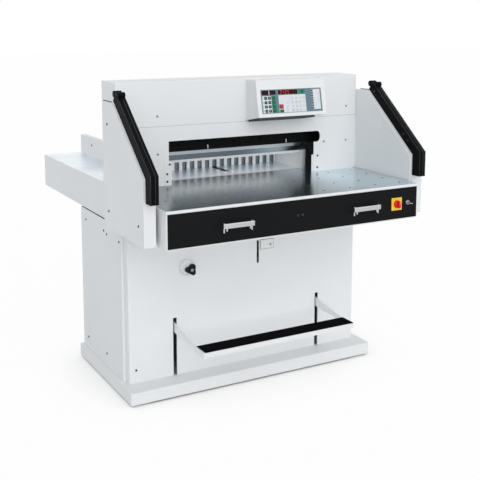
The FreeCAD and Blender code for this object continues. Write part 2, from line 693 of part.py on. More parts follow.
# Screws: places along Y and heights on the sides, places along X and rises above the table in front.
SIDE_SCREWS = [(930, "skirt_low - 55"), (930, 114.5), (683, 117), (691, "skirt_low - 57"),
               (654, "skirt_low - 66"), (504, "skirt_low - 67")]
WING_SCREWS = [(424, "table_height + 286"), (423, "table_height - 71"), (107, "table_height - 69")]
LAY_SCREWS = [(1398.5, "table_height + 59.6")]
HOOD_SCREWS = [("-screw_side", 300), (-421, 300), (421, 300), ("screw_side", 300),
               ("-screw_side", 137.5), (-421, 137.5), (425, 137.5), ("screw_side", 137.5)]
BRACKET_SCREWS = [(-367, 91), (-379, 50), (-379, 17)]
STRIP_SCREWS = [(390, 73), (390, 17.5)]


def front_cover():
    cover = body("front")
    block = pad(cover, "XY", rectangle("-front_half", "front_half", "cabinet_front", "side_front + cover_lip"),
                "base_height", "cover_top")
    bends = fillet(cover, block, "cover_bend",
                   lambda middle, run: upright(run) and middle.y < size("cabinet_front") + 1)
    shell(cover, bends, "sheet", [(0, 0, 1), (0, 0, -1), (0, 1, 0)])
    face = ("cabinet_front - 1", "cabinet_front + sheet + 2")
    openings = []
    for middle in ("-arm_left", "arm_right"):
        low, high = f"{middle} - arm_slot_half", f"{middle} + arm_slot_half"
        openings.append(box((low, high), face, ("base_height - 1", "arm_slot_top")))
    openings.append(box(("depth_slot_middle - depth_slot_half", "depth_slot_middle + depth_slot_half"), face,
                        ("depth_slot_low", "depth_slot_high")))
    openings.append(box(("door_left + door_lip", "door_right - door_lip"), face,
                        ("door_low + door_lip", "door_high - door_lip")))
    openings.append(rod("y", "dial_place", "cabinet_front - 1", "dial_height", "dial_shaft + slip",
                        "sheet + 2"))
    for place in front_screw_places():
        openings.append(screw_hole("front", *place))
    node("front_cover", cut(cover, openings))


def front_screw_places():
    return [(f"{side}(front_half - front_screw_side)", "cabinet_front", "base_height + front_screw_rise")
            for side in ("-", "")]


def side_covers():
    """The sides of the cabinet: sheets bent inwards along their fronts and backs."""
    cover = body("side")
    inner, outer = "(front_half + gap)", "side_half"
    points = [
        (inner, "side_front"), (outer, "side_front"), (outer, "cabinet_rear"),
        ("side_half - cover_lip", "cabinet_rear"), ("side_half - cover_lip", "cabinet_rear - sheet"),
        ("side_half - sheet", "cabinet_rear - sheet"), ("side_half - sheet", "side_front + sheet"),
        (inner, "side_front + sheet"),
    ]
    block = pad(cover, "XY", points, "base_height", "skirt_low - cover_gap")
    fillet(cover, block, "sheet", lambda middle, run: upright(run) and middle.x > size("side_half") - 0.1)
    holes = [screw_hole("right", "side_half", y, z) for y, z in SIDE_SCREWS]
    node("side_covers", group(pair(cut(cover, holes))))


def rear_cover():
    plate = box(("-side_half + cover_lip", "side_half - cover_lip"), ("cabinet_rear - sheet", "cabinet_rear"),
                ("base_height", "skirt_low - cover_gap"))
    hole = rod("y", "inlet_place", "cabinet_rear - sheet - 1", "inlet_height",
               "inlet_radius / 2 + slip", "sheet + 2")
    node("rear_cover", cut(plate, [hole]))


def cover_screws():
    """All the button-head screws that hold the covers, the wings, the lays and the bracket."""
    screws = [screw("front", *place) for place in front_screw_places()]
    for cover_side, places in (("side_half", SIDE_SCREWS), ("wing_outer", WING_SCREWS),
                               ("(channel_half + lay_thick)", LAY_SCREWS)):
        for y, z in places:
            screws.append(screw("right", cover_side, y, z))
            screws.append(screw("left", f"-{cover_side}", y, z))
    for x, rise in HOOD_SCREWS + STRIP_SCREWS:
        screws.append(screw("front", x, "hood_front", f"table_height + {rise}"))
    for x, rise in BRACKET_SCREWS:
        screws.append(screw("front", x, "hood_front - sheet", f"table_height + {rise}"))
    node("cover_screws", group(screws))


def mains_inlet():
    """The gland that the mains cable enters by."""
    flange = rod("y", "inlet_place", "cabinet_rear", "inlet_height", "inlet_radius", "inlet_flange")
    neck = rod("y", "inlet_place", "cabinet_rear - inlet_neck", "inlet_height", "inlet_radius / 2",
               "inlet_neck + 2")
    bore = rod("y", "inlet_place", "cabinet_rear - inlet_neck - 1", "inlet_height", "inlet_bore",
               "inlet_neck + inlet_flange + 2")
    node("mains_inlet", cut(fuse(flange, neck), [bore]))


# Depth dial and the small lockable door on the front cover.

def depth_dial():
    disc = rod("y", "dial_place", "cabinet_front - dial_thick", "dial_height", "dial_radius", "dial_thick")
    boss = rod("y", "dial_place", "cabinet_front - dial_boss_reach", "dial_height", "dial_boss",
               "dial_boss_reach - dial_thick / 2")
    bore = rod("y", "dial_place", "cabinet_front - dial_boss_reach - 1", "dial_height", "dial_shaft + slip",
               "dial_boss_reach + 2")
    node("depth_dial", cut(fuse(disc, boss), [bore]))


def star_knob():
    """Three lobes round a hub, on the spindle that passes through the dial."""
    front = "cabinet_front - knob_reach"
    pieces = [rod("y", "dial_place", front, "dial_height", "knob_hub", "knob_thick - gap")]
    for turn in (60, 180, 300):
        x = f"dial_place + lobe_throw * cos({turn} deg)"
        z = f"dial_height + lobe_throw * sin({turn} deg)"
        pieces.append(rod("y", x, front, z, "lobe_radius", "knob_thick - gap"))
    pieces.append(rod("y", "dial_place", f"{front} + knob_thick - 2", "dial_height", "dial_shaft",
                      "knob_reach - knob_thick + 2 + spindle_end"))
    pieces.append(rod("y", "dial_place", f"{front} - knob_cap_reach", "dial_height", "knob_cap",
                      "knob_cap_reach + 1"))
    node("star_knob", fuse(*pieces))


def access_door():
    door = box(("door_left", "door_right"), ("cabinet_front - door_thick", "cabinet_front"),
               ("door_low", "door_high"))
    x, z = "(door_right - door_lock_side)", "(door_low + door_lock_rise)"
    front = "(cabinet_front - 2 * door_thick)"
    lock = rod("y", x, front, z, "door_lock", "2 * door_thick - 1")
    keyway = box((f"{x} - keyway / 2", f"{x} + keyway / 2"), (f"{front} - 1", f"{front} + keyway"),
                 (f"{z} - 2 * keyway", f"{z} + 2 * keyway"))
    node("access_door", cut(fuse(door, lock), [keyway]))


# Side wings and the light guards on their sloping fronts.

def slope_point(along, off):
    """A point so far up the wing's slope from its bend and so far off its face."""
    run, rise = "(wing_crest - wing_front)", "(wing_top - wing_bend)"
    length = f"sqrt({run} ^ 2 + {rise} ^ 2)"
    y = f"wing_front + ({along}) * {run} / {length} - ({off}) * {rise} / {length}"
    z = f"wing_bend + ({along}) * {rise} / {length} + ({off}) * {run} / {length}"
    return y, z


def slope_length():
    return "sqrt((wing_crest - wing_front) ^ 2 + (wing_top - wing_bend) ^ 2)"


def bend_height(depth, slope_depth):
    """Where a line parallel to the slope meets a line parallel to the upright front."""
    run, rise = "(wing_crest - wing_front)", "(wing_top - wing_bend)"
    length = f"sqrt({run} ^ 2 + {rise} ^ 2)"
    return f"wing_bend + ({slope_depth}) * {length} / {run} - ({depth}) * {rise} / {run}"


def side_wings():
    wing = body("wing")
    points = [
        ("wing_front", "table_height - wing_drop"), ("wing_front", "wing_bend"), ("wing_crest", "wing_top"),
        ("wing_rear", "wing_top"), ("wing_rear", "table_height - wing_drop"),
    ]
    block = pad(wing, "YZ", points, "wing_inner", "wing_outer")
    doc.recompute()
    inner = size("wing_inner")
    names = []
    for number, edge in enumerate(block.Shape.Edges, start=1):
        middle = edge.CenterOfMass
        sloping = middle.y > size("wing_front") + 1 and abs(edge.Vertexes[1].Y - edge.Vertexes[0].Y) > 1
        rising = abs(edge.Vertexes[1].Z - edge.Vertexes[0].Z) > 1
        if abs(middle.x - inner) < 0.1 and rising and (sloping or middle.y < size("wing_front") + 1):
            names.append(f"Edge{number}")
    bevel = wing.newObject("PartDesign::Chamfer", "inner_bevel")
    bevel.Base = (block, names)
    bevel.ChamferType = "Two distances"
    bind(bevel, "Size", "guard_inset")
    bind(bevel, "Size2", "wing_chamfer")
    shell(wing, bevel, "sheet", [(0, 0, -1)])
    holes = [screw_hole("right", "wing_outer", y, z) for y, z in WING_SCREWS]
    node("side_wings", group(pair(cut(wing, holes))))


def light_guards():
    """A black profile bent once, along the front and the slope of each wing."""
    guards = [light_guard(low) for low in guard_sides()]
    node("light_guards", group(guards + guard_end_caps()))


def guard_sides():
    """Where the right and the left guard start along X: both stand a little to the left."""
    return ["(wing_inner + guard_inset - guard_shift)",
            "(-wing_inner - guard_inset - guard_shift - guard_width)"]


def light_guard(low):
    guard = body("guard")
    end = slope_length()
    points = [
        ("wing_front", "guard_low"), ("wing_front", "wing_bend"), slope_point(end, 0),
        slope_point(end, "guard_slope_depth"),
        ("wing_front - guard_depth", bend_height("guard_depth", "guard_slope_depth")),
        ("wing_front - guard_depth", "guard_low"),
    ]
    block = pad(guard, "YZ", points, low, f"{low} + guard_width")
    front = size("wing_front") - size("guard_depth")

    def outer_edge(middle, run):
        on_front = abs(middle.y - front) < 0.5 and upright(run)
        on_slope = abs(run.x) < 0.01 and not upright(run) and middle.z > size("wing_bend") + 30
        high = middle.z - size("wing_bend") > (middle.y - size("wing_front")) * 0.9
        return on_front or (on_slope and high and middle.z < size("wing_top") - 5)

    fillet(guard, block, "guard_round", outer_edge)
    return guard


def guard_end_caps():
    """Plugs for both ends of each guard."""
    caps = []
    end = slope_length()
    far = f"{end} + guard_cap"
    for low in guard_sides():
        high = f"{low} + guard_width"
        top = body("top_cap")
        block = pad(top, "YZ", [slope_point(end, "gap"), slope_point(far, "gap"),
                                slope_point(far, "guard_slope_depth"), slope_point(end, "guard_slope_depth")],
                    low, high)
        fillet(top, block, "guard_round", lambda middle, run: middle.z > size("wing_top") + 10 and
               middle.y > size("wing_crest") - 30)
        caps.append(top)
        caps.append(box((low, high), ("wing_front - guard_depth", "wing_front - gap"),
                        ("guard_low - guard_foot", "guard_low")))
    return caps


# Hood: a lower cover round the opening, an upper cover, a back and the console.


def lower_hood_cover():
    cover = body("lower_hood")
    plan = rectangle("-hood_half", "hood_half", "hood_front", "hood_rear")
    block = pad(cover, "XY", plan, "skirt_low", "seam")
    shell(cover, block, "sheet", [(0, 0, 1), (0, 0, -1), (0, 1, 0)])
    face = ("hood_front - 1", "hood_front + sheet + 1")
    inner = "hood_half - sheet"
    openings = [
        box((f"-({inner})", inner), face, ("skirt_low - 1", "table_height")),
        box(("-opening_left", "opening_right"), face, ("table_height - 1", "table_height + slot_low + 1")),
    ]
    slot = body("slot")
    strip = pad(slot, "XZ", rectangle("-opening_left", "slot_right", "table_height + slot_low",
                                      "table_height + slot_high"), *face)
    fillet(slot, strip, "slot_round", lambda middle, run: lengthwise(run) and middle.x > 0)
    openings.append(slot)
    for x, rise in HOOD_SCREWS + BRACKET_SCREWS + STRIP_SCREWS:
        if rise < size("seam_rise"):
            openings.append(screw_hole("front", x, "hood_front", f"table_height + {rise}"))
    node("lower_hood_cover", cut(cover, openings))


def upper_hood_cover():
    cover = body("upper_hood")
    plan = rectangle("-hood_half", "hood_half", "hood_front", "hood_rear")
    block = pad(cover, "XY", plan, "seam", "overall_height")
    rounded = fillet(cover, block, "edge_round", lambda middle, run: middle.y < size("hood_rear") - 1 and
                     middle.z > size("seam") + 1)
    shell(cover, rounded, "sheet", [(0, 0, -1), (0, 1, 0)])
    holes = [screw_hole("front", x, "hood_front", f"table_height + {rise}") for x, rise in HOOD_SCREWS
             if rise > size("seam_rise")]
    node("upper_hood_cover", cut(cover, holes))


def hood_rear_cover():
    """The back of the hood, open over the channel that the stack is pushed along."""
    plate = body("hood_back")
    side = "(hood_half - sheet)"
    channel = "(channel_half + lay_thick)"
    base = "table_height"
    ceiling = "(table_height + lay_height + channel_ceiling)"
    points = [
        (f"-{side}", base), (f"-{channel}", base), (f"-{channel}", ceiling), (channel, ceiling),
        (channel, base), (side, base), (side, "overall_height - edge_round - sheet"),
        (f"-{side}", "overall_height - edge_round - sheet"),
    ]
    pad(plate, "XZ", points, "hood_rear - sheet", "hood_rear")
    node("hood_rear_cover", plate)


def opening_cheeks():
    """Black plates that line the two ends of the cutting opening."""
    depth, height = ("hood_front + 2 * sheet", "cheek_reach"), ("table_height", "cheek_top")
    right = box(("opening_right + gap", "opening_right + gap + cheek_thick"), depth, height)
    left = box(("-opening_left - gap - cheek_thick", "-opening_left - gap"), depth, height)
    node("opening_cheeks", group([right, left]))


def opening_bracket():
    """The angle screwed beside the left end of the opening, and the strip behind its right end."""
    low, high = "table_height", "table_height + bracket_height"
    plate = box(("-bracket_outer", "-bracket_inner"), ("hood_front - sheet", "hood_front"), (low, high))
    flange = box(("-bracket_inner - sheet", "-bracket_inner"),
                 ("hood_front - sheet", "hood_front + bracket_flange"), (low, high))
    holes = [screw_hole("front", x, "hood_front - sheet", f"table_height + {rise}")
             for x, rise in BRACKET_SCREWS]
    strip = box(("bracket_inner", "strip_outer"), ("hood_front + sheet", "hood_front + 2 * sheet"),
                (low, "table_height + strip_height"))
    strip_holes = [screw_hole("front", x, "hood_front", f"table_height + {rise}") for x, rise in STRIP_SCREWS]
    node("opening_bracket", group([cut(fuse(plate, flange), holes), cut(strip, strip_holes)]))


def console_point(up, out):
    """A point so far up the console's sloping face and so far out from it."""
    run, rise = "(console_top_front - console_low_front)", "(console_top - console_low)"
    length = f"sqrt({run} ^ 2 + {rise} ^ 2)"
    y = f"console_low_front + ({up}) * {run} / {length} - ({out}) * {rise} / {length}"
    z = f"console_low + ({up}) * {rise} / {length} + ({out}) * {run} / {length}"
    return y, z


def console_strip(low, high, back, front):
    """The profile of a flat piece that lies on the console's sloping face."""
    return [console_point(low, back), console_point(high, back), console_point(high, front),
            console_point(low, front)]


def console():
    housing = body("console")
    points = [
        ("console_low_front", "console_low"), ("console_top_front", "console_top"),
        ("hood_front", "console_top"), ("hood_front", "console_root"),
    ]
    block = pad(housing, "YZ", points, "console_left", "console_right")
    shell(housing, block, "sheet", [(0, 1, 0)])
    node("console_housing", housing)
    panel = body("keypad")
    profile = console_strip("keypad_low", "keypad_high", "0", "keypad_thick")
    pad(panel, "YZ", profile, "console_left + keypad_left", "console_left + keypad_right")
    windows = []
    for name in ("first", "second", "third"):
        window = body("window")
        profile = console_strip("window_low", "window_high", "keypad_thick", "keypad_thick + window_thick")
        pad(window, "YZ", profile, f"console_left + {name}_left", f"console_left + {name}_right")
        windows.append(window)
    node("keypad_panel", fuse(panel, *windows))


# Knife: beam, blade, bolts and the rod that pulls it down on a slant.

def slanted_slot(x, z):
    """The space that a guide pin needs in the beam while the beam goes down and across."""
    travel = "sqrt(knife_drop ^ 2 + knife_shift ^ 2)"
    wide = "(guide_radius + slip)"
    dx, dz = f"{wide} * knife_drop / {travel}", f"{wide} * knife_shift / {travel}"
    slot = body("slanted")
    far_x, far_z = f"{x} + knife_shift", f"{z} + knife_drop"
    points = [
        (f"{x} + {dx}", f"{z} - {dz}"), (f"{far_x} + {dx}", f"{far_z} - {dz}"),
        (f"{far_x} - {dx}", f"{far_z} + {dz}"), (f"{x} - {dx}", f"{z} + {dz}"),
    ]
    pad(slot, "XZ", points, "knife_front - 1", "blade_front + 1")
    ends = [rod("y", place_x, "knife_front - 1", place_z, wide, "knife_thick + 2")
            for place_x, place_z in ((x, z), (far_x, far_z))]
    return [slot] + ends


def bolt_places():
    return [f"({number}) * bolt_pitch - bolt_middle" for number in range(-2, 3)]


def knife():
    beam = body("beam")
    block = pad(beam, "XZ", rectangle("-knife_left", "knife_right", "table_height + knife_low",
                                      "table_height + knife_high"), "knife_front", "blade_front")
    fillet(beam, block, "edge_round / 2",
           lambda middle, run: across(run) and middle.y < size("knife_front") + 1)
    cuts = []
    for x in ("-guide_left", "guide_right"):
        cuts.extend(slanted_slot(x, "table_height + guide_rise"))
    for x in bolt_places():
        cuts.append(rod("y", x, "knife_front - 1", "table_height + bolt_rise", "bolt_radius + slip",
                        "knife_thick + 2"))
    holed = beam
    for tool in cuts:
        holed = cut(holed, [tool])
    node("knife_beam", holed)
    blade = body("blade")
    low, high = "table_height + blade_edge", "table_height + blade_high"
    profile = [
        ("blade_front", high), ("blade_front", f"{low} + blade_bevel"), ("cut_line - blade_land", low),
        ("cut_line", low), ("cut_line", high),
    ]
    pad(blade, "YZ", profile, "-knife_left + 2", "blade_right")
    holes = [rod("y", x, "blade_front - 1", "table_height + bolt_rise", "bolt_radius + slip", "blade_thick - 1")
             for x in bolt_places()]
    node("knife_blade", cut(blade, holes))


def knife_bolts():
    bolts = []
    for x in bolt_places():
        z = "table_height + bolt_rise"
        head = rod("y", x, "knife_front - bolt_head_high", z, "bolt_head", "bolt_head_high")
        socket = rod("y", x, "knife_front - bolt_head_high - 1", z, "bolt_socket", "bolt_socket")
        shank = rod("y", x, "knife_front - 1", z, "bolt_radius", "bolt_length")
        bolts.append(cut(fuse(head, shank), [socket]))
    node("knife_bolts", group(bolts))


def knife_pull_rod():
    middle = "knife_front + knife_thick / 2"
    stem = rod("z", "pull_rod_place", middle, "eye_height + eye_radius - 3", "pull_rod_radius",
               "table_height + knife_low - eye_height - eye_radius + 3")
    eye = rod("y", "pull_rod_place", "knife_front + 1", "eye_height", "eye_radius", "pull_eye_thick")
    bore = rod("y", "pull_rod_place", "knife_front", "eye_height", "pull_eye_bore", "pull_eye_thick + 2")
    node("knife_pull_rod", cut(fuse(stem, eye), [bore]))


def knife_drive():
    """Crank disc with its pin, and the gear motor bolted to the right frame."""
    disc = rod("y", "crank_place", "blade_front + 2", "crank_height", "crank_radius", "crank_disc")
    shaft = rod("y", "crank_place", "blade_front + 4", "crank_height", "crank_shaft", "crank_shaft_length")
    pin = rod("y", "pull_rod_place", "blade_front", "eye_height", "crank_pin", 4)
    node("knife_crank", fuse(disc, shaft, pin))
    front, middle = "gearbox_front", "(gearbox_front + gearbox_deep / 2)"
    case = box(("crank_place - gearbox_side", "frame_inner"), (front, f"{front} + gearbox_deep"),
               ("crank_height - gearbox_half", "crank_height + gearbox_half"))
    bore = rod("y", "crank_place", f"{front} - 1", "crank_height", "crank_shaft + slip", "gearbox_bore + 1")
    motor = rod("x", "crank_place - knife_motor_end", middle, "crank_height", "knife_motor_radius",
                "knife_motor_end - gearbox_side + 1")
    cowl = rod("x", "crank_place - cowl_end", middle, "crank_height", "cowl_radius", "cowl_length")
    node("knife_gear_motor", cut(fuse(case, motor, cowl), [bore]))


# Clamp: beam, guide pillars, yoke and tie rods, pulled by a hydraulic ram below the table.

def clamp():
    low = "table_height + clamp_lift"
    beam = body("clamp")
    block = pad(beam, "XY", rectangle("-clamp_half", "clamp_half", "clamp_front", "clamp_rear"), low,
                f"{low} + clamp_height")
    slot = rectangle("clamp_rear - comb_depth", "clamp_rear + 1", f"{low} - 1", f"{low} + clamp_height / 2")
    first = "(-comb_pitch * 8)"
    comb = pocket(beam, "YZ", slot, f"{first} - comb_width / 2", f"{first} + comb_width / 2")
    row_of_slots = beam.newObject("PartDesign::LinearPattern", "row")
    row_of_slots.Originals = [comb]
    row_of_slots.Direction = (next(item for item in beam.Origin.OriginFeatures if item.Role == "X_Axis"), [""])
    bind(row_of_slots, "Length", "comb_pitch * 16")
    row_of_slots.Occurrences = 17
    beam.Tip = row_of_slots
    node("clamp_beam", beam)
    top = f"{low} + clamp_height"
    pillars = [rod("z", f"{side}pillar_place", "clamp_middle", top, "pillar_radius",
                   "yoke_low - clamp_lift - clamp_height") for side in ("-", "")]
    yoke = box(("-yoke_half", "yoke_half"), ("clamp_middle - yoke_width / 2", "clamp_middle + yoke_width / 2"),
               ("table_height + yoke_low", "table_height + yoke_high"))
    ties = [rod("z", f"{side}tie_place", "clamp_middle", "lower_yoke_high", "tie_radius",
                "table_height + yoke_low - lower_yoke_high") for side in ("-", "")]
    lower = box(("-yoke_half", "yoke_half"), ("clamp_middle - yoke_width / 2", "clamp_middle + yoke_width / 2"),
                ("lower_yoke_low", "lower_yoke_high"))
    node("clamp_yokes", group([yoke, lower]))
    ram = rod("z", 0, "clamp_middle", "ram_low", "ram_radius", "lower_yoke_low - ram_low")
    node("clamp_rods", group(pillars + ties + [ram]))


def hydraulics():
    barrel = rod("z", 0, "clamp_middle", "base_height", "barrel_radius", "barrel_high - base_height")
    bore = rod("z", 0, "clamp_middle", "barrel_floor", "ram_radius + slip", "barrel_high")
    cylinder = cut(barrel, [bore])
    tank = box(("-tank_far", "-tank_near"), ("clamp_middle - tank_front", "clamp_middle + tank_rear"),
               ("base_height", "base_height + tank_height"))
    pump = rod("z", "-(tank_far + tank_near) / 2", "clamp_middle + pump_back", "base_height + tank_height - 1",
               "pump_radius", "pump_height + 1")
    pipe = rod("x", "-tank_near", "clamp_middle", "base_height + pipe_rise", "pipe_radius",
               "tank_near - barrel_radius + 2")
    pipe = cut(pipe, [rod("z", 0, "clamp_middle", "base_height", "barrel_radius", "barrel_high")])
    node("clamp_hydraulics", group([cylinder, pipe, fuse(tank, pump)]))


def control_box():
    case = body("control")
    block = pad(case, "XY", rectangle("control_left", "control_right", "control_front", "control_rear"),
                "base_height", "base_height + control_height")
    fillet(case, block, "edge_round", lambda middle, run: upright(run))
    node("control_box", case)


# Back gauge: comb-fronted stop on a carriage that a lead screw drives along two guide rods.

def back_gauge():
    upright_span = ("table_height + gap", "table_height + gauge_height")
    rib_span = ("gauge_face", "gauge_face + rib_depth")
    pieces = [box(("-gauge_half", "gauge_half"),
                  ("gauge_face + rib_depth - 1", "gauge_face + rib_depth + gauge_plate"), upright_span)]
    for number in range(-8, 9):
        middle = f"({number}) * rib_pitch"
        pieces.append(box((f"{middle} - rib_width / 2", f"{middle} + rib_width / 2"), rib_span, upright_span))
    half_ribs = [("-gauge_half", "-gauge_half + rib_width / 2"), ("gauge_half - rib_width / 2", "gauge_half")]
    pieces.extend(box(ends, rib_span, upright_span) for ends in half_ribs)
    node("back_gauge", fuse(*pieces))


def gauge_carriage():
    length = ("carriage_front", "carriage_rear")
    plate = box(("slot_shift - carriage_half", "slot_shift + carriage_half"), length,
                ("carriage_low", "carriage_high"))
    web = box(("slot_shift - slot_half + gap", "slot_shift + slot_half - gap"), length,
              ("carriage_high - 1", "table_height + 2"))
    foot = box(("slot_shift - gauge_foot", "slot_shift + gauge_foot"),
               ("gauge_face + rib_depth + gauge_plate", "carriage_rear"),
               ("table_height + gap", "table_height + gauge_foot_high"))
    bores = [rod("y", "slot_shift", "carriage_front - 1", "screw_height", "screw_radius + slip",
                 "carriage_rear - carriage_front + 2")]
    for side in ("-", "+"):
        bores.append(rod("y", f"slot_shift {side} guide_rod_pitch", "carriage_front - 1", "screw_height",
                         "screw_radius + slip", "carriage_rear - carriage_front + 2"))
    node("gauge_carriage", cut(fuse(plate, web, foot), bores))


def gauge_drive():
    """End plates, guide rods, lead screw, shaft coupling and motor under the rear table."""
    ends = []
    for front in ("end_plate_front", "end_plate_rear"):
        plate = box(("slot_shift - carriage_half", "slot_shift + carriage_half"),
                    (front, f"{front} + end_plate_thick"), ("carriage_low", "table_low"))
        holes = [rod("y", "slot_shift", f"{front} - 1", "screw_height", "screw_radius + slip",
                     "end_plate_thick + 2")]
        for side in ("-", "+"):
            holes.append(rod("y", f"slot_shift {side} guide_rod_pitch", f"{front} - 1", "screw_height",
                             "screw_radius + slip", "end_plate_thick + 2"))
        ends.append(cut(plate, holes))
    node("gauge_end_plates", group(ends))
    span = "end_plate_rear + end_plate_thick - end_plate_front"
    rods = [rod("y", f"slot_shift {side} guide_rod_pitch", "end_plate_front", "screw_height",
                "screw_radius", span) for side in ("-", "+")]
    node("gauge_guide_rods", group(rods))
    thread = rod("y", "slot_shift", "end_plate_front - screw_end", "screw_height", "screw_radius",
                 f"{span} + screw_end + screw_tail")
    behind = "(end_plate_rear + end_plate_thick)"
    coupling = rod("y", "slot_shift", f"{behind} + screw_tail", "screw_height", "screw_radius + coupling_wall",
                   "coupling_length")
    shaft = rod("y", "slot_shift", f"{behind} + 1", "screw_height", "motor_shaft", "motor_shaft_length + 1")
    node("lead_screw", fuse(thread, coupling, shaft))
    case = box(("slot_shift - motor_half", "slot_shift + motor_half"),
               (f"{behind} + motor_gap", f"{behind} + motor_gap + motor_length"),
               ("table_low - 2 * motor_half", "table_low"))
    node("gauge_motor", cut(case, [rod("y", "slot_shift", f"{behind} + motor_gap - 1", "screw_height",
                                       "motor_shaft + slip", "motor_bore + 1")]))


# Treadle that brings the clamp down, hung on a shaft at the back of the cabinet.

def treadle():
    outside = box(("-tray_left", "tray_right"), ("tray_front", "tray_rear"), ("tray_low", "tray_high"))
    inside = box(("-tray_left + tray_wall", "tray_right - tray_wall"),
                 ("tray_front + tray_wall", "tray_rear - tray_wall"), ("tray_low - 1", "tray_high - tray_wall"))
    pieces = [cut(outside, [inside])]
    points = [
        ("tray_front + 1", "tray_low"), ("cabinet_front", "arm_low"),
        ("pivot_back", "pivot_height - arm_height / 2"), ("pivot_back", "pivot_height + arm_height / 2"),
        ("cabinet_front", "arm_low + arm_height"), ("tray_rear - 1", "tray_high"),
        ("tray_front + 1", "tray_high"),
    ]
    for middle in ("-arm_left", "arm_right"):
        arm = body("arm")
        pad(arm, "YZ", points, f"{middle} - arm_half", f"{middle} + arm_half")
        pieces.append(arm)
        pieces.append(rod("x", f"{middle} - 2.5 * arm_half", "pivot_back", "pivot_height",
                          "shaft_radius + shaft_collar", "5 * arm_half"))
    bore = rod("x", "-frame_inner", "pivot_back", "pivot_height", "shaft_radius", "2 * frame_inner")
    node("treadle_frame", cut(fuse(*pieces), [bore]))
    mat = body("mat")
    plan = rectangle("-mat_left", "tray_right - mat_edge", "tray_front + mat_edge", "tray_rear - mat_edge")
    pad(mat, "XY", plan, "tray_high", "tray_high + mat_thick")
    node("treadle_mat", mat)
    node("treadle_shaft", rod("x", "-frame_inner + shaft_end", "pivot_back", "pivot_height", "shaft_radius",
                              "2 * (frame_inner - shaft_end)"))
    block = box(("frame_inner - bearing_thick", "frame_inner"),
                ("pivot_back - bearing_half", "pivot_back + bearing_half"),
                ("pivot_height - bearing_half", "pivot_height + bearing_half"))
    bore = rod("x", "frame_inner - bearing_thick - 1", "pivot_back", "pivot_height", "shaft_radius + slip",
               "bearing_thick + 2")
    node("treadle_bearings", group(pair(cut(block, [bore]))))


base_plinth()
levelling_feet()
machine_frames()
bridge_beam()
bridge_guides()
front_table()
air_valves()
stick_bed()
cutting_stick()
rear_table()
rear_skirt()
side_lays()
table_apron()
fascia_panel()
trigger_brackets()
trigger_bars()
main_switch()
key_switch()
pilot_lamps()
front_cover()
side_covers()
rear_cover()
cover_screws()
mains_inlet()
depth_dial()
star_knob()
access_door()
side_wings()
light_guards()
lower_hood_cover()
upper_hood_cover()
hood_rear_cover()
opening_cheeks()
opening_bracket()
console()
knife()
knife_bolts()
knife_pull_rod()
knife_drive()
clamp()
hydraulics()
control_box()
back_gauge()
gauge_carriage()
gauge_drive()
treadle()
doc.recompute()

for item in doc.Objects:
    if "Invalid" in item.State or "Error" in item.State:
        raise RuntimeError(f"{item.Label} ({item.Name}) failed: {item.State}")
for item in nodes:
    if item.Shape.isNull() or not item.Shape.isValid():
        raise RuntimeError(f"{item.Label} has no valid shape")

os.makedirs("parts", exist_ok=True)
for item in nodes:
    item.Shape.exportStep(f"parts/{item.Label}.step")
print(len(nodes), "sub-parts")
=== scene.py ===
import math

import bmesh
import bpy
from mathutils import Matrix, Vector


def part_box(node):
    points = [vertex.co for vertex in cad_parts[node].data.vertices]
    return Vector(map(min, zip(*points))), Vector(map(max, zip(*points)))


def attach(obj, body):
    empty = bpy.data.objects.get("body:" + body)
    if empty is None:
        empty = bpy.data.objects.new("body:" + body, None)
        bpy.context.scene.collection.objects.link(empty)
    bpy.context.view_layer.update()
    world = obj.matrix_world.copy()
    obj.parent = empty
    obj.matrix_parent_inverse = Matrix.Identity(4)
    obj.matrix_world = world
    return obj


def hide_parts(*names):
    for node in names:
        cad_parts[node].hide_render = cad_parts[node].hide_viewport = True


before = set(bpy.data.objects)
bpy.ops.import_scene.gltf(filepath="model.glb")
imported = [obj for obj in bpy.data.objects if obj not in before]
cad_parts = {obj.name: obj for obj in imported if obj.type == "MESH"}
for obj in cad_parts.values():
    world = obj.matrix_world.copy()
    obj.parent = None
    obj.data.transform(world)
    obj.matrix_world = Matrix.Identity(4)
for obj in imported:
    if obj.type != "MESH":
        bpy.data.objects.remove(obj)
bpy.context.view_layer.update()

# %% [markdown]
# An electric stack cutter for paper.
# The measured frame is loaded above: every cover, table, bar and profile is already in
# place and in real size. What follows gives each of them its finish, and adds the small
# pieces: screws, keys, knobs, valves and the ribbed mat.
# The scene is in metres: X runs across the machine, Y from the operator's side to the
# back and Z up from the floor.

# %% [markdown]
# Places on the machine are easiest to write as on a workshop drawing: in millimetres,
# with Y counted from the front edge of the front table. One helper turns such a place
# into the scene's metres, so that the numbers below can be checked with a ruler.

# %% From drawing to scene
FRONT_EDGE = 779.5      # the table's front edge lies this far before the middle, mm


def at(x, y, z):
    return Vector((x, y - FRONT_EDGE, z)) / 1000


print("the front edge lies at", at(0, 0, 0))

# %% [markdown]
# The camera stands to the front left, at eye height, and looks slightly down.
# A product photographer keeps upright edges upright with a shift lens. Here a part of
# that comes from the camera's own shift and the rest from a small downward tilt, so
# that the same camera also frames the machine when it moves round it.

# %% Camera
EYE = (-1.85383, -3.63180, 1.59049)
LOOKING_DOWN = 8.034    # degrees below the level
TURNED_RIGHT = 28.811   # degrees from straight at the machine's front


def put(name, data):
    """A new object in the scene, which shows the data."""
    thing = bpy.data.objects.new(name, data)
    bpy.context.collection.objects.link(thing)
    return thing


camera_data = bpy.data.cameras.new("studio_camera")
camera_data.lens = 64.67
camera_data.sensor_width = 36
camera_data.shift_y = -0.2
camera = put("studio_camera", camera_data)
camera.location = EYE
camera.rotation_euler = (math.radians(90 - LOOKING_DOWN), 0, math.radians(-TURNED_RIGHT))
bpy.context.scene.camera = camera
print("camera at", tuple(camera.location))

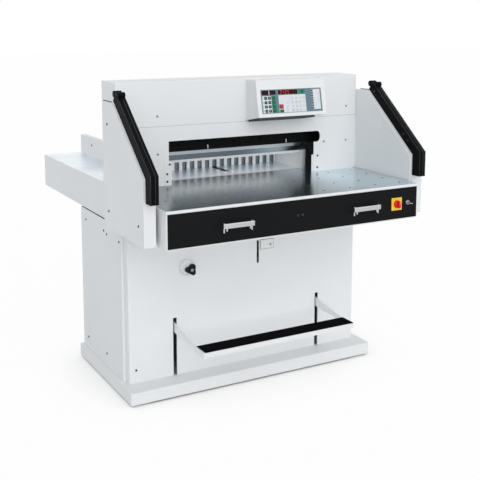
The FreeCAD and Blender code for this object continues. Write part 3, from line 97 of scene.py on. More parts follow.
# %% [markdown]
# The studio is a white floor without an edge and a white room. Three broad suns stand for
# soft boxes: a large one at the operator's side, a low one that reaches under the table
# and a weak one at the left. A sun lights the near and the far end of a large machine
# alike, which a lamp close by doesn't. The camera sees the room as plain white, and so do
# polished surfaces, while the light that the room gives is kept lower.

# %% Room and lamps
ROOM_LIGHT = 0.70
ROOM_TINT = (0.955, 0.98, 1.0, 1)
SUNS = [        # name, direction it shines from, strength, width in degrees, colour
    ("front_soft_box", (-0.16, -0.90, 0.36), 0.86, 60, (1.0, 0.97, 0.95)),
    ("low_soft_box", (-0.08, -0.98, 0.08), 0.42, 40, (1, 1, 1)),
    ("left_soft_box", (-0.80, -0.45, 0.30), 0.14, 70, (0.97, 0.985, 1.0)),
]


def wiring(owner):
    """The nodes of a material or world, and their links."""
    return owner.node_tree.nodes, owner.node_tree.links


def write(node, **values):
    """Put values on a node's sockets; a space in a socket's name is written as _ here."""
    for socket, value in values.items():
        node.inputs[socket.replace("_", " ")].default_value = value
    return node


def make_room():
    room = bpy.data.worlds.new("white_room")
    bpy.context.scene.world = room
    room.use_nodes = True
    nodes, links = wiring(room)
    nodes.clear()
    out = nodes.new("ShaderNodeOutputWorld")
    mix = nodes.new("ShaderNodeMixShader")
    light = write(nodes.new("ShaderNodeBackground"), Color=ROOM_TINT, Strength=ROOM_LIGHT)
    seen = write(nodes.new("ShaderNodeBackground"), Color=(1, 1, 1, 1), Strength=1.0)
    path = nodes.new("ShaderNodeLightPath")
    sees_white = path.outputs["Is Camera Ray"]
    for ray in ("Is Glossy Ray", "Is Transmission Ray"):
        either = nodes.new("ShaderNodeMath")
        either.operation = "MAXIMUM"
        links.new(sees_white, either.inputs[0])
        links.new(path.outputs[ray], either.inputs[1])
        sees_white = either.outputs[0]
    links.new(sees_white, mix.inputs["Fac"])
    links.new(light.outputs[0], mix.inputs[1])
    links.new(seen.outputs[0], mix.inputs[2])
    links.new(mix.outputs[0], out.inputs["Surface"])


def make_sun(name, towards, strength, width, colour):
    data = bpy.data.lights.new(name, "SUN")
    data.energy = strength
    data.angle = math.radians(width)
    data.color = colour
    put(name, data).rotation_euler = Vector(towards).to_track_quat("Z", "Y").to_euler()


make_room()
for sun in SUNS:
    make_sun(*sun)
bpy.context.scene.view_settings.view_transform = "Standard"
print("lamps", [lamp.name for lamp in bpy.data.lights])

# %% [markdown]
# On a studio's white floor a shadow is hardly seen, except where the base comes close
# to it. The floor is therefore a white matt paint, and for the camera most of it is
# replaced by plain white. An ambient occlusion node keeps the paint where the machine
# is near, so that the narrow gap under the base stays as dark as it really is.

# %% Floor
FLOOR_WHITE = 0.96      # the part of the open floor that the camera sees as plain white
FLOOR_PAINT = (0.88, 0.88, 0.88, 1)
SHADOW_REACH = 0.30     # how far the machine darkens the paint, m


def mesh_of(name, shape):
    mesh = bpy.data.meshes.new(name)
    shape.to_mesh(mesh)
    shape.free()
    return mesh


def make_floor():
    shape = bmesh.new()
    bmesh.ops.create_grid(shape, x_segments=1, y_segments=1, size=40)
    floor = put("studio_floor", mesh_of("studio_floor", shape))
    surface = bpy.data.materials.new("white_floor")
    surface.use_nodes = True
    nodes, links = wiring(surface)
    nodes.clear()
    out = nodes.new("ShaderNodeOutputMaterial")
    mix = nodes.new("ShaderNodeMixShader")
    paint = write(nodes.new("ShaderNodeBsdfDiffuse"), Color=FLOOR_PAINT)
    white = write(nodes.new("ShaderNodeEmission"), Strength=1.0)
    path = nodes.new("ShaderNodeLightPath")
    near = write(nodes.new("ShaderNodeAmbientOcclusion"), Distance=SHADOW_REACH)
    near.samples = 8
    span = write(nodes.new("ShaderNodeMapRange"), From_Min=0.05, To_Max=FLOOR_WHITE)
    span.interpolation_type = "SMOOTHSTEP"
    seen = nodes.new("ShaderNodeMath")
    seen.operation = "MULTIPLY"
    links.new(near.outputs["AO"], span.inputs["Value"])
    links.new(span.outputs["Result"], seen.inputs[0])
    links.new(path.outputs["Is Camera Ray"], seen.inputs[1])
    links.new(seen.outputs[0], mix.inputs["Fac"])
    links.new(paint.outputs[0], mix.inputs[1])
    links.new(white.outputs[0], mix.inputs[2])
    links.new(mix.outputs[0], out.inputs["Surface"])
    floor.data.materials.append(surface)


make_floor()
print("floor white", FLOOR_WHITE)

# %% [markdown]
# Finishes share a small vocabulary: a Principled surface, patterns in the piece's own
# Object coordinates (real metres, so a grain of half a millimetre is written as such),
# a ramp that turns a pattern into a colour, and a bump that turns it into relief.
# Helpers keep every finish below to a few lines, and a dictionary keeps it by its name.

# %% Vocabulary of finishes
FINISHES = {}


def new_finish(name, colour, roughness, metallic=0.0, specular=0.5):
    """A Principled surface with its even values written on its own sockets."""
    FINISHES[name] = surface = bpy.data.materials.new(name)
    surface.use_nodes = True
    write(surface.node_tree.nodes["Principled BSDF"], Base_Color=(*colour, 1),
          Roughness=roughness, Metallic=metallic, Specular_IOR_Level=specular)
    return surface


def pattern_space(surface, stretch=(1, 1, 1)):
    """Object coordinates, stretched along the axes where a grain has a direction."""
    nodes, links = wiring(surface)
    coordinates = nodes.new("ShaderNodeTexCoord")
    mapping = write(nodes.new("ShaderNodeMapping"), Scale=stretch)
    links.new(coordinates.outputs["Object"], mapping.inputs["Vector"])
    return mapping.outputs["Vector"]


def noise(surface, space, size, detail=2.0):
    """A cloudy pattern whose blots are about the given size in metres."""
    nodes, links = wiring(surface)
    cloud = write(nodes.new("ShaderNodeTexNoise"), Scale=1 / size, Detail=detail)
    links.new(space, cloud.inputs["Vector"])
    return cloud.outputs["Fac"]


def tint(surface, pattern, dark, light, low=0.3, high=0.7):
    """Let a pattern move the colour between two close shades."""
    nodes, links = wiring(surface)
    ramp = nodes.new("ShaderNodeValToRGB")
    ramp.color_ramp.elements[0].position = low
    ramp.color_ramp.elements[0].color = (*dark, 1)
    ramp.color_ramp.elements[1].position = high
    ramp.color_ramp.elements[1].color = (*light, 1)
    links.new(pattern, ramp.inputs["Fac"])
    links.new(ramp.outputs["Color"], nodes["Principled BSDF"].inputs["Base Color"])


def gloss(surface, pattern, smooth, rough):
    """Let a pattern move the roughness."""
    nodes, links = wiring(surface)
    span = write(nodes.new("ShaderNodeMapRange"), To_Min=smooth, To_Max=rough)
    links.new(pattern, span.inputs["Value"])
    links.new(span.outputs["Result"], nodes["Principled BSDF"].inputs["Roughness"])


def relief(surface, pattern, depth, strength):
    """Turn a pattern into relief, so deep in metres."""
    nodes, links = wiring(surface)
    bump = write(nodes.new("ShaderNodeBump"), Distance=depth, Strength=strength)
    links.new(pattern, bump.inputs["Height"])
    links.new(bump.outputs["Normal"], nodes["Principled BSDF"].inputs["Normal"])


def shade(colour, factor):
    return tuple(min(1.0, channel * factor) for channel in colour)


# %% [markdown]
# The covers are sheet steel with a baked powder coat: white, evenly half-gloss, with the
# shallow dimples of its melted grains. A grain of 1.2 mm gives the dimples, and broad
# clouds keep the large panels from being the very same white all over.

# %% Powder-coated covers
COAT_CLOUD = 0.35       # sizes in metres
COAT_GRAIN = 0.0012
COAT_DIMPLES = 0.35     # how strongly the grain's dimples show


def powder_coat(name, colour, roughness=0.42, depth=0.00006, specular=0.4):
    surface = new_finish(name, colour, roughness, specular=specular)
    space = pattern_space(surface)
    tint(surface, noise(surface, space, COAT_CLOUD), shade(colour, 0.985), shade(colour, 1.01))
    relief(surface, noise(surface, space, COAT_GRAIN), depth, COAT_DIMPLES)


powder_coat("cover_white", (0.80, 0.815, 0.825))
powder_coat("frame_grey", (0.22, 0.23, 0.25), 0.55)
powder_coat("motor_grey", (0.07, 0.075, 0.085), 0.5)
powder_coat("satin_black", (0.006, 0.0065, 0.007), 0.42, 0.00004, 0.05)
powder_coat("fascia_black", (0.0085, 0.0090, 0.0095), 0.55, 0.00003, 0.06)
print("coats:", len(FINISHES), "finishes so far")

# %% [markdown]
# The table is ground and polished steel plate. Softly it mirrors the back gauge's ribs, the
# dark opening and the white covers. Grinding leaves fine lines, here along X, and handling
# leaves slow clouds of duller metal. A noise that is stretched forty times along X makes
# the lines, which drive both the roughness and a hair-thin relief. At its left, where the
# table mirrors the dark opening, a painted reflection darkens its tint. The rear table is
# duller.

# %% Ground and turned steel


def ground_steel(name, colour, smooth, rough, stretch=(1, 40, 40), line=0.02, depth=0.00001):
    surface = new_finish(name, colour, (smooth + rough) / 2, metallic=1.0)
    lines = noise(surface, pattern_space(surface, stretch), line, 4.0)
    clouds = noise(surface, pattern_space(surface), 0.18, 3.0)
    tint(surface, clouds, shade(colour, 0.90), shade(colour, 1.08))
    gloss(surface, lines, smooth, rough)
    relief(surface, lines, depth, 0.5)


ground_steel("table_steel", (0.68, 0.80, 0.86), 0.15, 0.23, depth=0.000003)
ground_steel("rear_steel", (0.80, 0.87, 0.91), 0.28, 0.38, depth=0.000003)


def rise(surface, axis, start, end, first=0.0, curve="LINEAR"):
    """A number that rises to 1 along one axis of the piece, between two places."""
    nodes, links = wiring(surface)
    parts = nodes.new("ShaderNodeSeparateXYZ")
    links.new(pattern_space(surface), parts.inputs["Vector"])
    span = write(nodes.new("ShaderNodeMapRange"), From_Min=start, From_Max=end, To_Min=first)
    span.interpolation_type = curve
    links.new(parts.outputs[axis], span.inputs["Value"])
    return span.outputs["Result"]


def paint_dark_reflection_left(surface, start, end, dark):
    """Paint a reflection into the tint: dark at the left of the piece, up to its full colour."""
    nodes, links = wiring(surface)
    tinted = nodes["Principled BSDF"].inputs["Base Color"]
    painted_reflection = nodes.new("ShaderNodeVectorMath")
    painted_reflection.operation = "SCALE"
    links.new(tinted.links[0].from_socket, painted_reflection.inputs[0])
    links.new(rise(surface, "X", start, end, dark, "SMOOTHSTEP"), painted_reflection.inputs["Scale"])
    links.new(painted_reflection.outputs["Vector"], tinted)


# Painted reflection: the table's left is darkened where it mirrors the dark opening.
paint_dark_reflection_left(FINISHES["table_steel"], start=0.10, end=0.42, dark=0.33)
ground_steel("blade_steel", (0.50, 0.55, 0.58), 0.14, 0.26, (1, 60, 60))
ground_steel("turned_steel", (0.50, 0.51, 0.53), 0.22, 0.40, (20, 20, 20), 0.01)
ground_steel("bright_steel", (0.74, 0.75, 0.76), 0.14, 0.26, (4, 30, 30), 0.01)
ground_steel("zinc", (0.30, 0.32, 0.34), 0.28, 0.44, (1, 1, 1), 0.003)
ground_steel("dark_zinc", (0.07, 0.075, 0.08), 0.34, 0.50, (1, 1, 1), 0.003)
print("steels:", len(FINISHES), "finishes so far")

# %% [markdown]
# Plastics and rubber: the light guards are black profiles, the switch is glossy yellow
# and red, the stick is pale and dull, the treadle's mat is rubber and the keypad a printed
# foil. They differ in colour, gloss and grain, so one recipe serves them all: a slight
# cloudiness, some 20 mm wide, and a fine grain as relief.

# %% Plastics and rubber


def moulded(name, colour, roughness, grain=0.0006, depth=0.00002, specular=0.45):
    surface = new_finish(name, colour, roughness, specular=specular)
    space = pattern_space(surface)
    tint(surface, noise(surface, space, 0.02), shade(colour, 0.94), shade(colour, 1.04))
    relief(surface, noise(surface, space, grain), depth, 0.4)


moulded("guard_black", (0.004, 0.0045, 0.0055), 0.42, 0.002, 0.00002, 0.04)
moulded("switch_yellow", (0.90, 0.60, 0.03), 0.32)
moulded("switch_red", (0.78, 0.008, 0.012), 0.30)
moulded("stick_pale", (0.55, 0.55, 0.55), 0.50)
moulded("gland_black", (0.02, 0.02, 0.02), 0.50)
moulded("knob_black", (0.006, 0.006, 0.007), 0.34, specular=0.15)
moulded("mat_black", (0.004, 0.004, 0.005), 0.72, 0.0015, 0.00008, 0.02)
moulded("smoked", (0.020, 0.022, 0.024), 0.22)
moulded("foil_blue", (0.135, 0.215, 0.255), 0.42, specular=0.25)
moulded("foil_white", (0.70, 0.73, 0.76), 0.42)
moulded("foil_green", (0.022, 0.22, 0.13), 0.40, specular=0.25)
moulded("foil_red", (0.42, 0.035, 0.04), 0.40, specular=0.25)
moulded("key_dark", (0.030, 0.034, 0.048), 0.40, specular=0.2)
moulded("key_grey", (0.64, 0.66, 0.69), 0.42)
moulded("dial_grey", (0.84, 0.855, 0.86), 0.35)
moulded("key_green", (0.010, 0.125, 0.075), 0.40, specular=0.25)
moulded("gap_shadow_grey", (0.26, 0.27, 0.28), 0.60)
moulded("seam_shadow_grey", (0.55, 0.56, 0.57), 0.60)
# Dark grey for the pilot bezels, and painted shade for the console's shadow tray.
moulded("shadow_and_bezel_grey", (0.060, 0.074, 0.080), 0.60, specular=0.1)
moulded("lip_black", (0.006, 0.006, 0.007), 0.70, specular=0.05)
moulded("edge_highlight_grey", (0.030, 0.034, 0.037), 0.30, 0.002, 0.00001, 0.5)
moulded("lens_grey", (0.05, 0.055, 0.06), 0.16)
moulded("print_white", (0.80, 0.80, 0.80), 0.45)
moulded("print_black", (0.02, 0.02, 0.02), 0.45)
moulded("screen_dark", (0.012, 0.001, 0.003), 0.20, 0.002, 0.000005, 0.02)
print("plastics:", len(FINISHES), "finishes so far")

# %% [markdown]
# Three finishes shine by themselves: the lit and the dim bars of the red displays, and
# the thin line of light along the cut, which an operator lines the sheets up with. Their
# light is weak and doesn't reach the surroundings, so emission on the shader's own socket
# is enough.

# %% Glowing finishes


def glowing(name, colour, strength):
    moulded(name, shade(colour, 0.5), 0.35)
    write(FINISHES[name].node_tree.nodes["Principled BSDF"], Emission_Color=(*colour, 1),
          Emission_Strength=strength)


glowing("segment_lit", (0.85, 0.03, 0.008), 0.80)
glowing("segment_dim", (0.10, 0.001, 0.008), 0.10)
glowing("cut_light", (0.60, 0.010, 0.05), 0.30)
print("glowing:", len(FINISHES), "finishes so far")

# %% [markdown]
# The back gauge is a casting with pale painted ribs before a dull, dark plate. One finish
# can say so: a ramp over the piece's own Y coordinate turns from the ribs' paint at the
# front to the plate's grey.

# %% Gauge paint
GAUGE_FRONT = at(0, 810.4, 0).y
GAUGE_PLATE = at(0, 815, 0).y
RIB_PAINT = (0.86, 0.875, 0.885)
PLATE_GREY = (0.22, 0.26, 0.29)


def gauge_finish():
    surface = new_finish("gauge_paint", (0.8, 0.8, 0.8), 0.45)
    depth = rise(surface, "Y", GAUGE_FRONT, GAUGE_PLATE)
    tint(surface, depth, RIB_PAINT, PLATE_GREY, 0.0, 1.0)
    relief(surface, noise(surface, pattern_space(surface), COAT_GRAIN), 0.00006, COAT_DIMPLES)


gauge_finish()
print("gauge paint turns dark", round((GAUGE_PLATE - GAUGE_FRONT) * 1000, 1), "mm behind the ribs")

# %% [markdown]
# A second dictionary says which pieces of the frame wear which finish, and a last line
# makes sure that no piece was forgotten.

# %% Finish of every piece of the frame
PIECES_IN = {
    "cover_white": ("front_cover side_covers rear_cover side_wings lower_hood_cover "
                    "upper_hood_cover hood_rear_cover table_apron rear_table_skirt "
                    "console_housing base_plinth access_door opening_bracket side_lays "
                    "treadle_frame clamp_beam"),
    "gauge_paint": "back_gauge",
    "rear_steel": "rear_table",
    "table_steel": "front_table stick_bed",
    "blade_steel": "knife_blade",
    "turned_steel": ("air_valves bridge_guides clamp_rods clamp_yokes gauge_guide_rods "
                     "lead_screw gauge_end_plates gauge_carriage knife_crank knife_pull_rod "
                     "levelling_feet treadle_bearings treadle_shaft clamp_hydraulics"),
    "bright_steel": "trigger_bar_left trigger_bar_right trigger_brackets key_switch switch_key",
    "zinc": "cover_screws knife_bolts",
    "fascia_black": "fascia_panel",
    "satin_black": "knife_beam opening_cheeks",
    "guard_black": "light_guards",
    "knob_black": "star_knob",
    "frame_grey": "machine_frames bridge_beam",
    "motor_grey": "knife_gear_motor gauge_motor control_box",
    "foil_blue": "keypad_panel",
    "switch_yellow": "main_switch_plate",
    "switch_red": "main_switch_knob",
    "smoked": "pilot_lamps",
    "gland_black": "mains_inlet",
    "stick_pale": "cutting_stick",
    "mat_black": "treadle_mat",
    "dial_grey": "depth_dial",
}
undressed = set(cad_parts)
for finish, names in PIECES_IN.items():
    for name in names.split():
        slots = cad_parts[name].data.materials
        slots.clear()
        slots.append(FINISHES[finish])
        undressed.discard(name)
print("pieces without a finish:", sorted(undressed))

# %% [markdown]
# The small pieces are drawn lying flat, in millimetres: their back on the plane Z = 0 and
# their face towards +Z, which keeps each shape simple. A handful of turns then stands them
# against the wall that carries them.

# %% Ways to face
FACING_FRONT = Matrix.Rotation(math.radians(90), 4, "X")
FACING_LEFT = Matrix.Rotation(math.radians(-90), 4, "Z") @ FACING_FRONT
FACING_RIGHT = Matrix.Rotation(math.radians(90), 4, "Z") @ FACING_FRONT
FACING_UP = Matrix.Identity(4)
CONSOLE_LEAN = 11.24    # the console's face leans back by this many degrees
ON_CONSOLE = Matrix.Rotation(math.radians(90 - CONSOLE_LEAN), 4, "X")


def shift(x, y, z):
    return Matrix.Translation((x, y, z))


def stand(place, facing=FACING_FRONT):
    """The move from a flat drawing in millimetres to its place in the scene."""
    return Matrix.Translation(place) @ facing @ Matrix.Scale(0.001, 4)


print("a screw on the left side faces", FACING_LEFT @ Vector((0, 0, 1)))

# %% [markdown]
# A few shape makers serve all the small pieces. Ease rounds edges with a bevel. A block
# starts as a cube, whose upright corners and then upper rim are eased. A turned part is
# half an outline spun round an axis, as on a lathe. A figure is text made into a thin mesh.

# %% Shape makers


def ease(shape, edges, width, steps=2):
    bmesh.ops.bevel(shape, geom=edges, offset=width, affect="EDGES", segments=steps,
                    profile=0.5, material=-1)


def edges_above(shape, height):
    return [e for e in shape.edges if all(v.co.z > height for v in e.verts)]


def block(size_x, size_y, height, corner=0, rim=0):
    """A block whose middle stands on the origin."""
    shape = bmesh.new()
    bmesh.ops.create_cube(shape, size=1)
    bmesh.ops.scale(shape, vec=(size_x, size_y, height), verts=shape.verts)
    bmesh.ops.translate(shape, vec=(0, 0, height / 2), verts=shape.verts)
    if corner:
        upright = [e for e in shape.edges if abs(e.verts[0].co.z - e.verts[1].co.z) > height / 2]
        ease(shape, upright, corner, 3)
    if rim:
        ease(shape, edges_above(shape, height * 0.999), rim)
    return shape


def turned(outline, steps=24):
    """A turned part: a half outline of (radius, height) points, spun round Z."""
    shape = bmesh.new()
    points = [shape.verts.new((radius, 0, height)) for radius, height in outline]
    lines = [shape.edges.new(pair) for pair in zip(points, points[1:])]
    bmesh.ops.spin(shape, geom=points + lines, cent=(0, 0, 0), axis=(0, 0, 1),
                   angle=math.tau, steps=steps, use_merge=True)
    bmesh.ops.remove_doubles(shape, verts=shape.verts, dist=0.0005)
    bmesh.ops.recalc_face_normals(shape, faces=shape.faces)
    return shape


def figure(text, size, thick=0.12):
    """A short text or number as a thin mesh, its middle on the origin."""
    letters = bpy.data.curves.new("figure", "FONT")
    letters.body = text
    letters.size = size
    letters.align_x = letters.align_y = "CENTER"
    letters.extrude = thick / 2
    letters.resolution_u = 3
    holder = bpy.data.objects.new("figure", letters)
    mesh = bpy.data.meshes.new_from_object(holder)
    shape = bmesh.new()
    shape.from_mesh(mesh)
    bpy.data.objects.remove(holder)
    bpy.data.curves.remove(letters)
    bpy.data.meshes.remove(mesh)
    bmesh.ops.translate(shape, vec=(0, 0, thick / 2), verts=shape.verts)
    return shape


# %% [markdown]
# Join lays one shape into another, so that a row of equal keys is a single piece, and
# placed does so for a piece of one shape. A piece then gets its finish, its shading, and
# the body that it rides on: the machine itself, unless another is named.

# %% From shapes to pieces
SHARP = 32              # degrees between two faces, past which their edge looks sharp


def join(whole, part, move=Matrix.Identity(4)):
    mesh = mesh_of("passing", part)
    mesh.transform(move)
    whole.from_mesh(mesh)
    bpy.data.meshes.remove(mesh)


def placed(part, move):
    whole = bmesh.new()
    join(whole, part, move)
    return whole


def piece_of(name, shape, finish, body="machine", replaces=()):
    mesh = mesh_of(name, shape)
    mesh.materials.append(FINISHES[finish])
    mesh.shade_smooth()
    mesh.set_sharp_from_angle(angle=math.radians(SHARP))
    piece = put(name, mesh)
    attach(piece, body)
    if replaces:
        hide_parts(*replaces)
    print(name, len(mesh.polygons), "faces on", body)


# %% [markdown]
# Where do the screws sit? The frame knows: each of its plain screws is a separate island
# of one mesh. Its box tells the middle, the axis (the two equal sides are the head's
# width) and which end is the head (the wide one). Asking it is safer than copying places
# by hand.

# %% Seats of the frame's round pieces


def islands(name):
    """The separate lumps of a piece of the frame, as lists of points."""
    shape = bmesh.new()
    shape.from_mesh(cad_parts[name].data)
    bmesh.ops.remove_doubles(shape, verts=shape.verts, dist=1e-6)
    waiting, lumps = set(shape.verts), []
    for start in shape.verts:
        lump = [start] if start in waiting else []
        waiting.discard(start)
        for vert in lump:       # the list grows while it is read
            for edge in vert.link_edges:
                other = edge.other_vert(vert)
                if other in waiting:
                    waiting.discard(other)
                    lump.append(other)
        if lump:
            lumps.append([vert.co.copy() for vert in lump])
    shape.free()
    return lumps


FACINGS = {(0, -1): FACING_LEFT, (0, 1): FACING_RIGHT, (1, -1): FACING_FRONT, (2, 1): FACING_UP}


def seats(name):
    """Place, facing, radius and height of the head of every round lump of a piece."""
    found = []
    for lump in islands(name):
        low = Vector([min(p[i] for p in lump) for i in range(3)])
        high = Vector([max(p[i] for p in lump) for i in range(3)])
        size = high - low
        axis = min(range(3), key=lambda i: abs(size[(i + 1) % 3] - size[(i + 2) % 3]))
        middle = (low + high) / 2
        radius = size[(axis + 1) % 3] / 2
        across = [i for i in range(3) if i != axis]
        wide = [p[axis] for p in lump
                if math.hypot(*(p[i] - middle[i] for i in across)) > radius * 0.95]
        side = {1: -1, 2: 1}.get(axis)          # the operator's side, and up
        if axis == 0:
            side = 1 if max(wide) > high[axis] - 0.0005 else -1
        place = middle.copy()
        place[axis] = min(wide) if side > 0 else max(wide)
        found.append((place, FACINGS[axis, side], radius * 1000, (max(wide) - min(wide)) * 1000))
    return found


screw_seats = seats("cover_screws")
print(len(screw_seats), "screws; heads", {(round(s[2], 1), round(s[3], 1)) for s in screw_seats})

# %% [markdown]
# The cover screws have low button heads with a hexagon socket. The head is half an
# outline spun round its axis, socket included. The socket's wall is then pushed from
# round to hexagonal: at each angle the flat side of a hexagon lies nearer to the middle
# than its corner, by a cosine. The hood's screws are bright, the rest are blackened.

# %% Button-head screws


def button_head(radius, height, socket=2):
    shape = turned([(radius, 0), (radius, height * 0.22), (radius * 0.93, height * 0.50),
                    (radius * 0.76, height * 0.78), (radius * 0.58, height * 0.93),
                    (socket * 1.12, height), (socket, height * 0.96), (socket, height * 0.35),
                    (0, height * 0.30)])
    for vert in shape.verts:
        out = math.hypot(vert.co.x, vert.co.y)
        if abs(out - socket) < 0.05:
            turn = math.atan2(vert.co.y, vert.co.x) % (math.pi / 3) - math.pi / 6
            factor = math.cos(math.pi / 6) / math.cos(turn)
            vert.co.x *= factor
            vert.co.y *= factor
    return shape


HOOD_SCREWS_ABOVE = 1.02        # metres
HOOD_SCREWS_BESIDE = 0.41
bright_screws, dark_screws = bmesh.new(), bmesh.new()
for place, facing, radius, height in screw_seats:
    on_hood = (facing is FACING_FRONT and place.z > HOOD_SCREWS_ABOVE
               and abs(place.x) > HOOD_SCREWS_BESIDE)
    join(bright_screws if on_hood else dark_screws, button_head(radius, height),
         stand(place, facing))
piece_of("hood_screw_heads", bright_screws, "zinc", replaces=["cover_screws"])
piece_of("cover_screw_heads", dark_screws, "dark_zinc")

# %% [markdown]
# Five hexagon bolts with washers hold the blade to its beam. A hexagon head is a cone
# with six sides whose two radii are equal; bevelling the upper rim gives the chamfer that
# every real bolt has. The washer is turned.

# %% Knife bolts


def hexagon_bolt(radius, height):
    shape = turned([(radius * 0.98, 0), (radius, height * 0.06), (radius, height * 0.20),
                    (radius * 0.97, height * 0.25), (radius * 0.5, height * 0.25)])
    head = bmesh.new()
    half = radius * 0.86
    bmesh.ops.create_cone(head, cap_ends=True, segments=6, radius1=half, radius2=half,
                          depth=height * 0.75)
    bmesh.ops.translate(head, vec=(0, 0, height * 0.625), verts=head.verts)
    ease(head, edges_above(head, height * 0.99), radius * 0.12)
    join(shape, head)
    return shape


bolts = bmesh.new()
for place, facing, radius, height in seats("knife_bolts"):
    join(bolts, hexagon_bolt(radius, height), stand(place, facing))
piece_of("knife_bolt_heads", bolts, "satin_black", "knife", ["knife_bolts"])

# %% [markdown]
# Beside the bolts, two slim bright pins mark where the beam's slots let the blade be set.
# Each is a block whose upright corners are bevelled until its ends are round.

# %% Setting pins on the knife beam
PINS_ACROSS = (-148.3, 261.8)
pins = bmesh.new()
for x in PINS_ACROSS:
    join(pins, block(4.5, 21, 1.6, 2.1, 0.5), stand(at(x, 547, 1043)))
piece_of("knife_setting_pins", pins, "bright_steel", "knife")

# %% [markdown]
# The table floats heavy stacks on air: a sprung ball sits in a ring and lets air out when
# paper presses it down. Ring and ball are two turned outlines, with few faces, because
# there are so many of them.

# %% Air valves
table_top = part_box("air_valves")[1].z
rings, balls = bmesh.new(), bmesh.new()
for place, facing, radius, height in seats("air_valves"):
    spot = stand(Vector((place.x, place.y, table_top)), FACING_UP)
    join(rings, turned([(radius, -0.5), (radius * 0.96, -0.15), (radius * 0.84, 0),
                        (radius * 0.66, -0.10), (radius * 0.60, -0.8)], 16), spot)
    join(balls, turned([(2.7, -1.8), (2.3, -0.7), (1.4, -0.2), (0, 0)], 12), spot)
piece_of("air_valve_rings", rings, "satin_black", replaces=["air_valves"])
piece_of("air_valve_balls", balls, "bright_steel")

# %% [markdown]
# The treadle's mat is rubber with long ribs, so that a shoe doesn't slip. A block is cut
# into strips by a row of planes, and every second strip is extruded upwards. Cutting one
# closed block keeps the mat in one closed skin, which a heap of separate bars wouldn't.

# %% Ribbed mat
MAT_X = (-362, 376)
MAT_Y = (151, 234)
MAT_FOOT = 259
MAT_BASE = 1.8
MAT_RIB = 1.2
MAT_STRIPS = 27
MAT_EASE = 0.5


def ribbed_mat():
    length, width = MAT_X[1] - MAT_X[0], MAT_Y[1] - MAT_Y[0]
    strip = width / MAT_STRIPS
    shape = block(length, width, MAT_BASE)
    for cut in range(1, MAT_STRIPS):
        bmesh.ops.bisect_plane(shape, geom=shape.verts[:] + shape.edges[:] + shape.faces[:],
                               plane_co=(0, cut * strip - width / 2, 0), plane_no=(0, 1, 0))
    shape.normal_update()
    ribs = [f for f in shape.faces if f.normal.z > 0.9
            and round((f.calc_center_median().y + width / 2) / strip - 0.5) % 2 == 1]
    raised = bmesh.ops.extrude_discrete_faces(shape, faces=ribs)["faces"]
    tops = {vert for face in raised for vert in face.verts}
    bmesh.ops.translate(shape, vec=(0, 0, MAT_RIB), verts=list(tops))
    long_rims = [e for e in shape.edges if all(v in tops for v in e.verts)
                 and abs(e.verts[0].co.y - e.verts[1].co.y) < 0.01]
    ease(shape, long_rims, MAT_EASE)
    return shape


mat_middle = at(sum(MAT_X) / 2, sum(MAT_Y) / 2, MAT_FOOT)
mat = placed(ribbed_mat(), stand(mat_middle, FACING_UP))
piece_of("ribbed_mat", mat, "mat_black", "treadle", ["treadle_mat"])

# %% [markdown]
# The keypad is a printed foil over flat keys. Its printed fields are separate thin
# plates with round corners, each in its ink, lying on the foil in the console's own
# plane: x to the right from the console's left end, y up its leaning face and z out.

# %% Printed fields of the keypad
CONSOLE_CORNER = at(7.5, 361, 1180)
FOIL_FACE = 1.5         # the foil stands this far out of the console's face, mm
FIELD_THICK = 0.25
GLASS_FACE = 2.3        # the displays' windows stand a little further out


def on_console(x, up, out):
    return stand(CONSOLE_CORNER, ON_CONSOLE) @ shift(x, up, out)


def fields(places, out, thick, corner, rim=0):
    """Plates from their left, right, lower and upper edges."""
    shape = bmesh.new()
    for left, right, low, high in places:
        join(shape, block(right - left, high - low, thick, corner, rim),
             on_console((left + right) / 2, (low + high) / 2, out))
    return shape


WHITE_FIELDS = [(24, 70, 19, 93), (107, 247.5, 18, 95), (280, 325.5, 25, 115.5), (59, 62, 98, 117)]
GREEN_FIELDS = [(70.6, 93.5, 19, 92), (213, 245, 98, 118)]
piece_of("keypad_white_fields", fields(WHITE_FIELDS, FOIL_FACE, FIELD_THICK, 1.2),
         "foil_white")
piece_of("keypad_green_fields", fields(GREEN_FIELDS, FOIL_FACE, FIELD_THICK, 2),
         "foil_green")

# %% [markdown]
# The keys are shallow pads with eased rims, whose rows and columns come from short lists.
# The wide pale field holds a block of numbers.

# %% Keys
KEY_ROWS = (83.5, 64.5, 45.8, 27)
NUMBER_ROWS = (79, 61.5, 44, 26.5)
KEY_OUT = FOIL_FACE + FIELD_THICK
KEY_HIGH = 0.9
KEY_EASE = 0.35


def key_at(x, up, wide, high):
    return (x - wide / 2, x + wide / 2, up - high / 2, up + high / 2)


dark_keys = [key_at(x, up, 14, 13) for x in (41.5, 60.5) for up in KEY_ROWS]
green_keys = [key_at(81.5, up, 15, 13) for up in KEY_ROWS] + [key_at(118.8, 25, 20.5, 12.9)]
red_keys = [key_at(118.3, 44.3, 21.5, 19.5)]
number_keys = [key_at(x, up, 13, 11) for x in (178, 198, 218) for up in NUMBER_ROWS]
side_keys = [key_at(150, up, 12, 11) for up in NUMBER_ROWS[1:]]
side_keys += [key_at(236, up, 12, 11) for up in NUMBER_ROWS]
KEY_PIECES = [          # name, keys, roundness of the corners, finish
    ("keypad_dark_keys", dark_keys, 2, "key_dark"),
    ("keypad_green_keys", green_keys, 2, "key_green"),
    ("keypad_red_key", red_keys, 2.5, "foil_red"),
    ("keypad_pale_keys", number_keys + side_keys, 2, "key_grey"),
]
for name, keys, corner, finish in KEY_PIECES:
    piece_of(name, fields(keys, KEY_OUT, KEY_HIGH, corner, KEY_EASE), finish)

# %% [markdown]
# Figures are text turned into a thin mesh. Font curves come out with many points, so
# their resolution is kept low: at this size nobody can tell. Small dark windows beside
# the pale panel would hold lamps on the real keypad.

